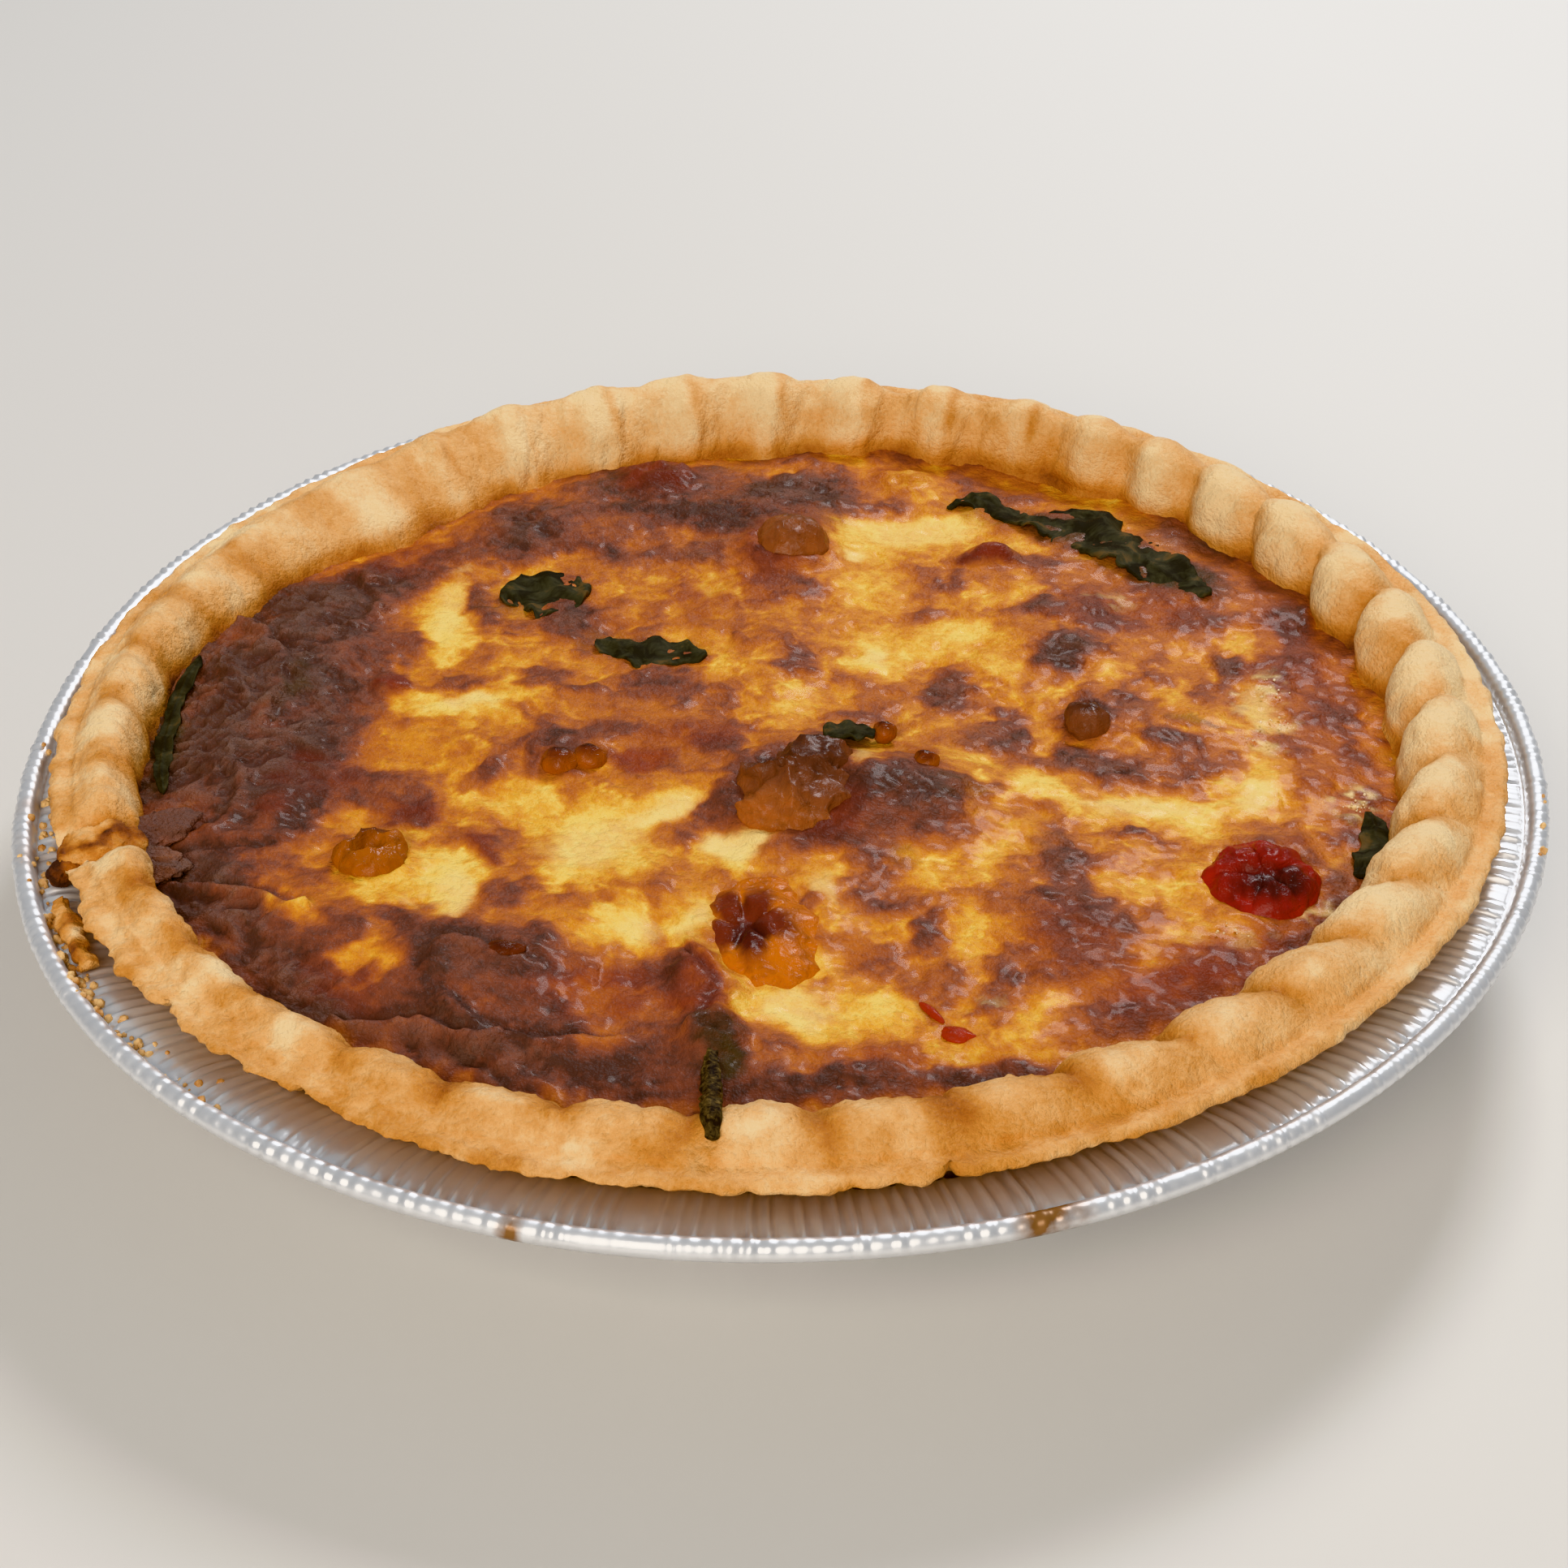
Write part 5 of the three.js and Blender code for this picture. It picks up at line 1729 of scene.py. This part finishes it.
def thin_sheet(upper: Array, lower: Array) -> Shape:
    """Closes two facing grids of points into one thin solid.

    Args:
        upper: Steps by places across by x, y, z of the upper face.
        lower: The same for the under face.

    Returns:
        The shape.
    """
    steps, across = upper.shape[:2]
    size = steps * across
    faces: Faces = []
    for i in range(steps - 1):
        for j in range(across - 1):
            a = i * across + j
            quad = (a, a + across, a + across + 1, a + 1)
            faces.append(quad)
            faces.append(tuple(corner + size for corner in reversed(quad)))
    edge = [i * across for i in range(steps - 1)]
    edge += [(steps - 1) * across + j for j in range(across - 1)]
    edge += [i * across + across - 1 for i in range(steps - 1, 0, -1)]
    edge += range(across - 1, 0, -1)
    for a, b in zip(edge, edge[1:] + edge[:1]):
        faces.append((b, a, a + size, b + size))
    return Shape(np.concatenate([upper.reshape(-1, 3), lower.reshape(-1, 3)]), faces)


@dataclass(frozen=True)
class Leaf:
    """A spinach leaf that has dried on the surface, ragged and wavy."""

    name: str
    node: str
    ripple: float
    lift: float
    midrib: Rows  # x, y, half-width
    thickness: float = 0.9
    ragged: float = 0.55

    def build(self, filling: Filling) -> None:
        """Makes the leaf.

        Args:
            filling: What it lies on.
        """
        steps, across = 16 * (len(self.midrib) - 1), 15
        along = np.linspace(0, len(self.midrib) - 1, steps)
        rows = spline(np.array(self.midrib, float), along)
        tangent = unit(np.gradient(rows[:, :2], axis=0))
        side = np.stack([-tangent[:, 1], tangent[:, 0]], -1)
        v = np.linspace(-1, 1, across)
        u = along[:, None] / along[-1]
        tips = np.sqrt(smoothstep(0, 0.08, u) * smoothstep(1, 0.92, u))
        tear = fractal(rows[:, None, :2] + 30 * np.sign(v)[None, :, None], 3.0, 3, 301)
        width = rows[:, 2, None] * (0.25 + 0.75 * tips) * (1 + self.ragged * tear)
        flat = rows[:, None, :2] + side[:, None, :] * (v[None, :] * width)[..., None]
        curl = self.ripple * np.sin(u * 19 + (v + 1) * 2) * np.abs(v)
        wave = 0.9 * fractal(flat, 4.0, 3, 311) + 0.7 * ridged(flat, 3.0, 315) - 0.75
        rib = 0.25 * np.exp(-((v / 0.16) ** 2))
        height = filling.surface(flat[..., 0], flat[..., 1]) + self.lift + curl + wave + rib
        thin = self.thickness * (1 - 0.45 * np.abs(v))
        upper = np.concatenate([flat, height[..., None]], -1)
        lower = np.concatenate([flat, (height - thin)[..., None]], -1)
        leaf = thin_sheet(upper, lower).to_object(self.name, SPINACH)
        hand_over(leaf, "spinach", self.node)


LEAVES = (
    Leaf("spinach_left", "leaf_left", 0.5, 0.9,
         ((-46.4, 41.2, 2.8), (-41.8, 42.3, 5.8), (-36.6, 42.0, 6.2), (-31.4, 40.2, 3.4))),
    Leaf("spinach_strip", "leaf_strip", 0.4, 0.8,
         ((-29.0, 26.0, 1.8), (-23.6, 23.2, 3.8), (-17.6, 21.6, 4.2), (-10.4, 19.8, 1.8))),
    Leaf("spinach_back", "leaf_back", 0.6, 1.0,
         ((32.6, 72.6, 1.0), (38.0, 74.8, 2.0), (44.6, 69.0, 3.2), (53.8, 65.0, 5.6),
          (61.2, 56.8, 6.2), (68.5, 48.4, 5.0), (75.8, 39.0, 2.0))),
    Leaf("spinach_centre", "leaf_centre", 0.3, 2.6,
         ((8.6, -7.6, 2.0), (12.6, -6.6, 4.2), (16.6, -6.2, 2.4))),
    Leaf("spinach_right", "leaf_right", 0.3, 1.3,
         ((91.8, -26.4, 1.0), (91.4, -31.6, 2.4), (89.4, -37.4, 2.6), (87.0, -42.4, 1.0))),
    Leaf("spinach_by_crust", "leaf_crust", 0.2, 1.6,
         ((-94.2, 19.4, 0.8), (-96.2, 10, 1.3), (-96.6, -1, 1.4), (-95.6, -11.5, 1.2),
          (-94.0, -18.5, 0.7))),
)


@dataclass
class Stalk:
    """A woody stalk that lies from the filling over the front of the crust."""

    half_width: float = 1.25
    half_thickness: float = 0.8
    route: Rows = (
        (-8.6, -76.5, 30.6), (-8.3, -84, 31.0), (-8.1, -91, 31.2), (-8.0, -96, 33.4),
        (-7.9, -100.2, 37.4), (-7.8, -104.2, 38.8), (-7.6, -108.4, 37.2),
    )

    def build(self) -> None:
        """Makes the stalk as a knotty tube along its route."""
        steps, columns = 90, 20
        along = np.linspace(0, len(self.route) - 1, steps)
        path = spline(np.array(self.route, float), along)
        tangent = unit(np.gradient(path, axis=0))
        side = unit(np.cross(tangent, [0, 0, 1.0]))
        upwards = np.cross(side, tangent)
        angle = np.radians(columns_round(columns))
        knots = 1 + 0.18 * np.sin(along * 4.1) + 0.1 * np.sin(along * 9.7)
        ends = np.sqrt(smoothstep(-0.05, 0.25, along) * smoothstep(6.05, 5.75, along))
        ridge = 1 + 0.12 * np.cos(5 * angle)
        wide = (self.half_width * knots * ends)[:, None] * ridge
        thick = (self.half_thickness * knots * ends)[:, None] * ridge
        grid = (path[:, None] + side[:, None] * (wide * np.cos(angle))[..., None]
                + upwards[:, None] * (thick * np.sin(angle))[..., None])
        stalk = cap_rings(grid, path[0], path[-1]).to_object("herb_stalk", STALK)
        hand_over(stalk, "stem", "stem")


# ---- breakages and crumbs


@dataclass(frozen=True)
class Spill:
    """Egg that ran out over the burst crust and baked there."""

    centre: tuple[float, float, float]
    radii: tuple[float, float, float]
    turn: float
    tone: float
    grey: float = 0.0
    red: float = 0.3
    ragged: float = 0.3
    rumpled: float = 0.0
    end_tone: float = 0.6

    def shape(self) -> Shape:
        """Makes the spill as a crumpled, crusted pad.

        Returns:
            The shape, with the values that custard and pastry read.
        """
        rows, columns = 48, 96
        climb = np.radians(np.linspace(-90, 90, rows))[1:-1, None]
        angle = np.radians(columns_round(columns))[None, :]
        unit = np.stack(np.broadcast_arrays(
            np.cos(climb) * np.cos(angle), np.cos(climb) * np.sin(angle), np.sin(climb)), -1)
        t = math.radians(self.turn)
        local = unit * np.array(self.radii)
        x = local[..., 0] * math.cos(t) - local[..., 1] * math.sin(t)
        y = local[..., 0] * math.sin(t) + local[..., 1] * math.cos(t)
        torn = 1 + self.ragged * fractal(unit * 3 + np.array(self.centre), 2.4, 4, 399)
        grid = np.stack([x, y, local[..., 2]], -1) * torn[..., None] + np.array(self.centre)
        folded = grid * np.array([0.6, 1.2, 1.0])
        lumps = 1.1 * fractal(grid, 4.5, 4, 401) + 1.3 * (ridged(folded, 3.4, 405) - 0.5)
        lumps = lumps * max(self.rumpled, min(1, self.radii[2] / 3))
        grid = grid + grid_normals(grid) * lumps[..., None]
        burnt = smoothstep(0.1, 0.7, ridged(grid * np.array([1, 1.6, 1]), 6, 411))
        tone = self.tone + 0.45 * burnt + 0.4 * fractal(grid, 3, 3, 415)
        tone = (tone, self.end_tone, self.end_tone)
        even = {"red": self.red, "grey": self.grey, "green": 0.0, "cream": 0.0}
        return cap_rings(grid, grid[0].mean(axis=0), grid[-1].mean(axis=0), tone=tone, toast=tone,
                         **{name: (np.full(grid.shape[:2], value), value, value)
                            for name, value in even.items()})


BURST_STRIP = (
    Spill((-99.6, -36.6, 32.6), (6.6, 4.4, 2.8), 24, 0.3),
    Spill((-104.2, -40.6, 31.6), (3.2, 1.8, 2.0), 40, 0.72),
)
EGG_FLAPS = (
    Spill((-93.8, -30.4, 31.3), (6.0, 4.0, 1.5), 30, 0.68, 0.6, 0.3, 0.75, 0.7),
    Spill((-92.2, -38.4, 30.8), (5.8, 3.8, 1.5), -30, 0.72, 0.8, 0.1, 0.75, 0.7),
)


@dataclass
class CrustFlake:
    """A browned flake of crust that has fallen into the gutter of the tin."""

    azimuths: tuple[float, float] = (204.5, 213)
    radii: tuple[float, float] = (114.2, 115.2)
    half_width: float = 1.7
    thickness: float = 0.9
    under: float = 30.0

    def build(self) -> None:
        """Makes the flake as a crumbly slab."""
        steps, across = 90, 18
        u = np.linspace(0, 1, steps)[:, None]
        v = np.linspace(0, 1, across)[None, :]
        azimuth = self.azimuths[1] + (self.azimuths[0] - self.azimuths[1]) * u
        radius = self.radii[1] + (self.radii[0] - self.radii[1]) * u
        taper = 0.35 + 0.65 * np.sin(math.pi * (0.08 + 0.84 * u)) ** 0.6
        torn = 0.9 * fractal(polar(azimuth, 115, 5 * v), 2.6, 4, 421)
        place = radius + (2 * v - 1) * self.half_width * taper + torn
        crown = self.thickness + 0.6 * np.sin(math.pi * v) + 0 * u
        upper = polar(azimuth, place, self.under + crown)
        upper[..., 2] += 0.55 * fractal(upper, 2.2, 3, 431)
        lower = polar(azimuth, place, self.under + 0 * crown)
        shape = thin_sheet(upper, lower)
        shape.values["toast"] = 0.45 + 0.6 * fractal(shape.points, 4, 3, 441)
        hand_over(shape.to_object("fallen_flake", PASTRY), "crust", "crust_flake")


@dataclass
class Scatter:
    """Loose bits of one kind, each turned and sized by chance from a fixed seed."""

    name: str
    finish: Crumbs
    slot: str
    smallest: float
    largest: float
    seed: int

    def tree(self) -> GeometryNodeTree:
        """Puts an uneven bit on each point of a mesh.

        Returns:
            The tree.
        """
        tree = new_tree(f"Scatter {self.name}", {
            "Smallest": ("NodeSocketFloat", 0.0003), "Largest": ("NodeSocketFloat", 0.0008),
            "Seed": ("NodeSocketInt", 1), "Material": ("NodeSocketMaterial", None),
        })
        source = add_node(tree, "NodeGroupInput").outputs
        ball = add_node(tree, "GeometryNodeMeshIcoSphere", {"Radius": 1.0, "Subdivisions": 2})
        rough = outlet(tree, "ShaderNodeTexNoise", {"Scale": 1.3}, "Color")
        shift = outlet(tree, "ShaderNodeVectorMath", {
            "Vector": rough, "Vector_001": (0.5, 0.5, 0.5),
        }, operation="SUBTRACT")
        bit = outlet(tree, "GeometryNodeSetPosition", {
            "Geometry": ball.outputs[0], "Offset": shift,
        })
        turn = outlet(tree, "FunctionNodeRandomValue", {
            "Min": (0, 0, 0), "Max": (6.28, 6.28, 6.28), "Seed": source["Seed"],
        }, data_type="FLOAT_VECTOR")
        size = outlet(tree, "FunctionNodeRandomValue", {
            "Min": source["Smallest"], "Max": source["Largest"], "Seed": source["Seed"],
        }, data_type="FLOAT")
        placed = outlet(tree, "GeometryNodeInstanceOnPoints", {
            "Points": source["Geometry"], "Instance": bit, "Rotation": turn, "Scale": size,
        })
        end_tree(tree, placed, source["Material"])
        return tree

    def build(self, points: Array) -> None:
        """Makes the bits.

        Args:
            points: Where they lie.
        """
        bits = Shape(points, []).to_object(self.name)
        run_tree(bits, self.tree(), {
            "Smallest": self.smallest * MM, "Largest": self.largest * MM, "Seed": self.seed,
            "Material": self.finish.material(),
        })
        hand_over(bits, self.slot)


@dataclass
class CrumbTrail:
    """Where crumbs have fallen on the tin and cheese has dried in specks."""

    tin: FoilTin
    filling: Filling
    seed: int = 7

    def on_tin(self, azimuth: Array, radius: Array) -> Array:
        """Puts points on top of the flange or the bead.

        Args:
            azimuth: Their places round the tin, in degrees.
            radius: Their radius before the dent.

        Returns:
            The points.
        """
        roll = self.tin.rim_radius - self.tin.bead_radius
        bead = np.sqrt(np.maximum(0, self.tin.bead_radius**2 - (radius - roll) ** 2))
        over_bead = self.tin.depth + self.tin.flange_rise + bead
        height = np.where(bead > 0, over_bead, self.tin.flange_height(radius))
        return polar(azimuth, radius - self.tin.dent_at(azimuth, radius), height + 0.1)

    def build(self) -> None:
        """Makes the crumbs on the tin and the specks on the filling."""
        chance = np.random.default_rng(self.seed)
        trails = ((196, 7, 117.5, 1.6, 26), (207, 5, 118.0, 0.8, 40), (216, 4, 118.2, 0.8, 40),
                  (228, 6, 118.0, 1.2, 20), (345, 3, 121.0, 0.5, 6), (170, 14, 116.5, 1.4, 10))
        crumbs = [
            self.on_tin(chance.normal(azimuth, spread, count), chance.normal(radius, width, count))
            for azimuth, spread, radius, width, count in trails
        ]
        Scatter("tin_crumbs", CRUST_CRUMBS, "crust", 0.2, 0.75, 11).build(np.concatenate(crumbs))
        spots = ((90, -24, 2, 3.4, 22), (77, -51, 2.2, 1.6, 10), (66, -58, 4, 2, 8),
                 (82, 9, 2, 4, 12), (82, -1, 2, 2, 8), (78, -6, 2, 3, 8))
        specks = []
        for x, y, wide, deep, count in spots:
            px, py = chance.normal(x, wide * 0.6, count), chance.normal(y, deep * 0.6, count)
            specks.append(np.stack([px, py, self.filling.surface(px, py) + 0.35], -1))
        Scatter("cheese_specks", CHEESE_SPECKS, "custard", 0.1, 0.24, 13).build(
            np.concatenate(specks))


# ---- studio


@dataclass(frozen=True)
class Studio:
    """Pale floor, soft light from behind on the right, and the camera."""

    distance: float = 378.9  # in front of the tin's middle
    height: float = 274.5
    pitch: float = 0.5942  # radians below level
    yaw: float = 0.0059
    roll: float = -0.0041
    focal_px: float = 3460.9  # for a picture 1932 pixels wide
    picture_px: int = 1932
    floor_size: float = 6000
    floor_drop: float = 0.1  # keeps the floor clear of the tin's base
    room: tuple[str, float] = ("#e9edf2", 0.4)  # colour and strength
    # Name, azimuth, climb, distance and side in metres, power in watts, colour.
    lights: tuple[tuple[str | float, ...], ...] = (
        ("key", 66, 44, 1.2, 0.34, 8.2, "#fbfcff"), ("fill", 255, 36, 1.5, 0.8, 16, "#fff4e6"),
    )
    view_transform: str = "Khronos PBR Neutral"  # keeps surface colours as they are

    def camera(self) -> None:
        """Sets up the camera."""
        forward = np.array([math.sin(self.yaw) * math.cos(self.pitch),
                            math.cos(self.yaw) * math.cos(self.pitch), -math.sin(self.pitch)])
        right = unit(np.cross(forward, [0, 0, 1.0]))
        upwards = np.cross(right, forward)
        c, s = math.cos(self.roll), math.sin(self.roll)
        turned_right = right * c + upwards * s
        turned_up = upwards * c - right * s
        lens = bpy.data.cameras.new("camera")
        lens.sensor_width = 36
        lens.lens = self.focal_px / self.picture_px * lens.sensor_width
        eye = bpy.data.objects.new("camera", lens)
        axes = Matrix((turned_right, turned_up, -forward)).transposed()
        eye.matrix_world = Matrix.Translation(
            Vector((0, -self.distance * MM, self.height * MM))) @ axes.to_4x4()
        bpy.context.scene.collection.objects.link(eye)
        bpy.context.scene.camera = eye

    def light(self, name: str, azimuth: float, climb: float, distance: float, size: float,
              power: float, colour: str) -> None:
        """Adds a square soft light that looks at the middle of the quiche.

        Args:
            name: The light's name.
            azimuth: Where it stands, in degrees round the quiche.
            climb: Its height as an angle above the floor.
            distance: Its distance in metres.
            size: Its side in metres.
            power: Its power in watts.
            colour: Its sRGB colour.
        """
        lamp = bpy.data.lights.new(name, "AREA")
        lamp.shape = "SQUARE"
        lamp.size = size
        lamp.energy = power
        lamp.color = linear(colour)[:3]
        rise = math.radians(climb)
        place = Vector(polar(azimuth, math.cos(rise), math.sin(rise)))
        stand = bpy.data.objects.new(name, lamp)
        stand.rotation_euler = place.to_track_quat("Z", "Y").to_euler()
        stand.location = place * distance
        bpy.context.scene.collection.objects.link(stand)

    def build(self) -> None:
        """Makes the floor, the lights and the camera."""
        half = self.floor_size / 2
        corners = np.array([[-half, -half, 0], [half, -half, 0], [half, half, 0], [-half, half, 0]])
        floor = Shape(corners, [(0, 1, 2, 3)]).to_object("floor", PaleTable())
        floor.location.z = -self.floor_drop * MM
        world = bpy.data.worlds.new("room")
        world.use_nodes = True
        backdrop = world.node_tree.nodes["Background"].inputs
        backdrop["Color"].default_value = linear(self.room[0])
        backdrop["Strength"].default_value = self.room[1]
        bpy.context.scene.world = world
        bpy.context.scene.view_settings.view_transform = self.view_transform
        for light in self.lights:
            self.light(*light)
        self.camera()


def main() -> None:
    """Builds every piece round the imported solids, in order."""
    logging.basicConfig(level=logging.INFO, format="%(name)s %(message)s")
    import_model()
    Studio().build()
    tin, crust = FoilTin(), Crust()
    filling = Filling(crust)
    tin.build()
    crust.build()
    filling.build()
    for tomato in TOMATOES:
        made = tomato.shape(filling).to_object(tomato.name, tomato.finish)
        hand_over(made, tomato.slot, tomato.node)
    for name, beads, slot in (("dried_beads", DRIED_BEADS, "tomato_orange"),
                              ("pepper_chips", PEPPER_CHIPS, "tomato_red")):
        shape = join_shapes([bead.shape(filling) for bead in beads])
        hand_over(shape.to_object(name, beads[0].finish), slot)
    for leaf in LEAVES:
        leaf.build(filling)
    Stalk().build()
    for name, spills, finish, slot in (("burst_strip", BURST_STRIP, PASTRY, "crust"),
                                       ("egg_flaps", EGG_FLAPS, CUSTARD, "custard")):
        shape = join_shapes([spill.shape() for spill in spills])
        hand_over(shape.to_object(name, finish), slot)
    CrustFlake().build()
    CrumbTrail(tin, filling).build()


if __name__ == "__main__":
    main()
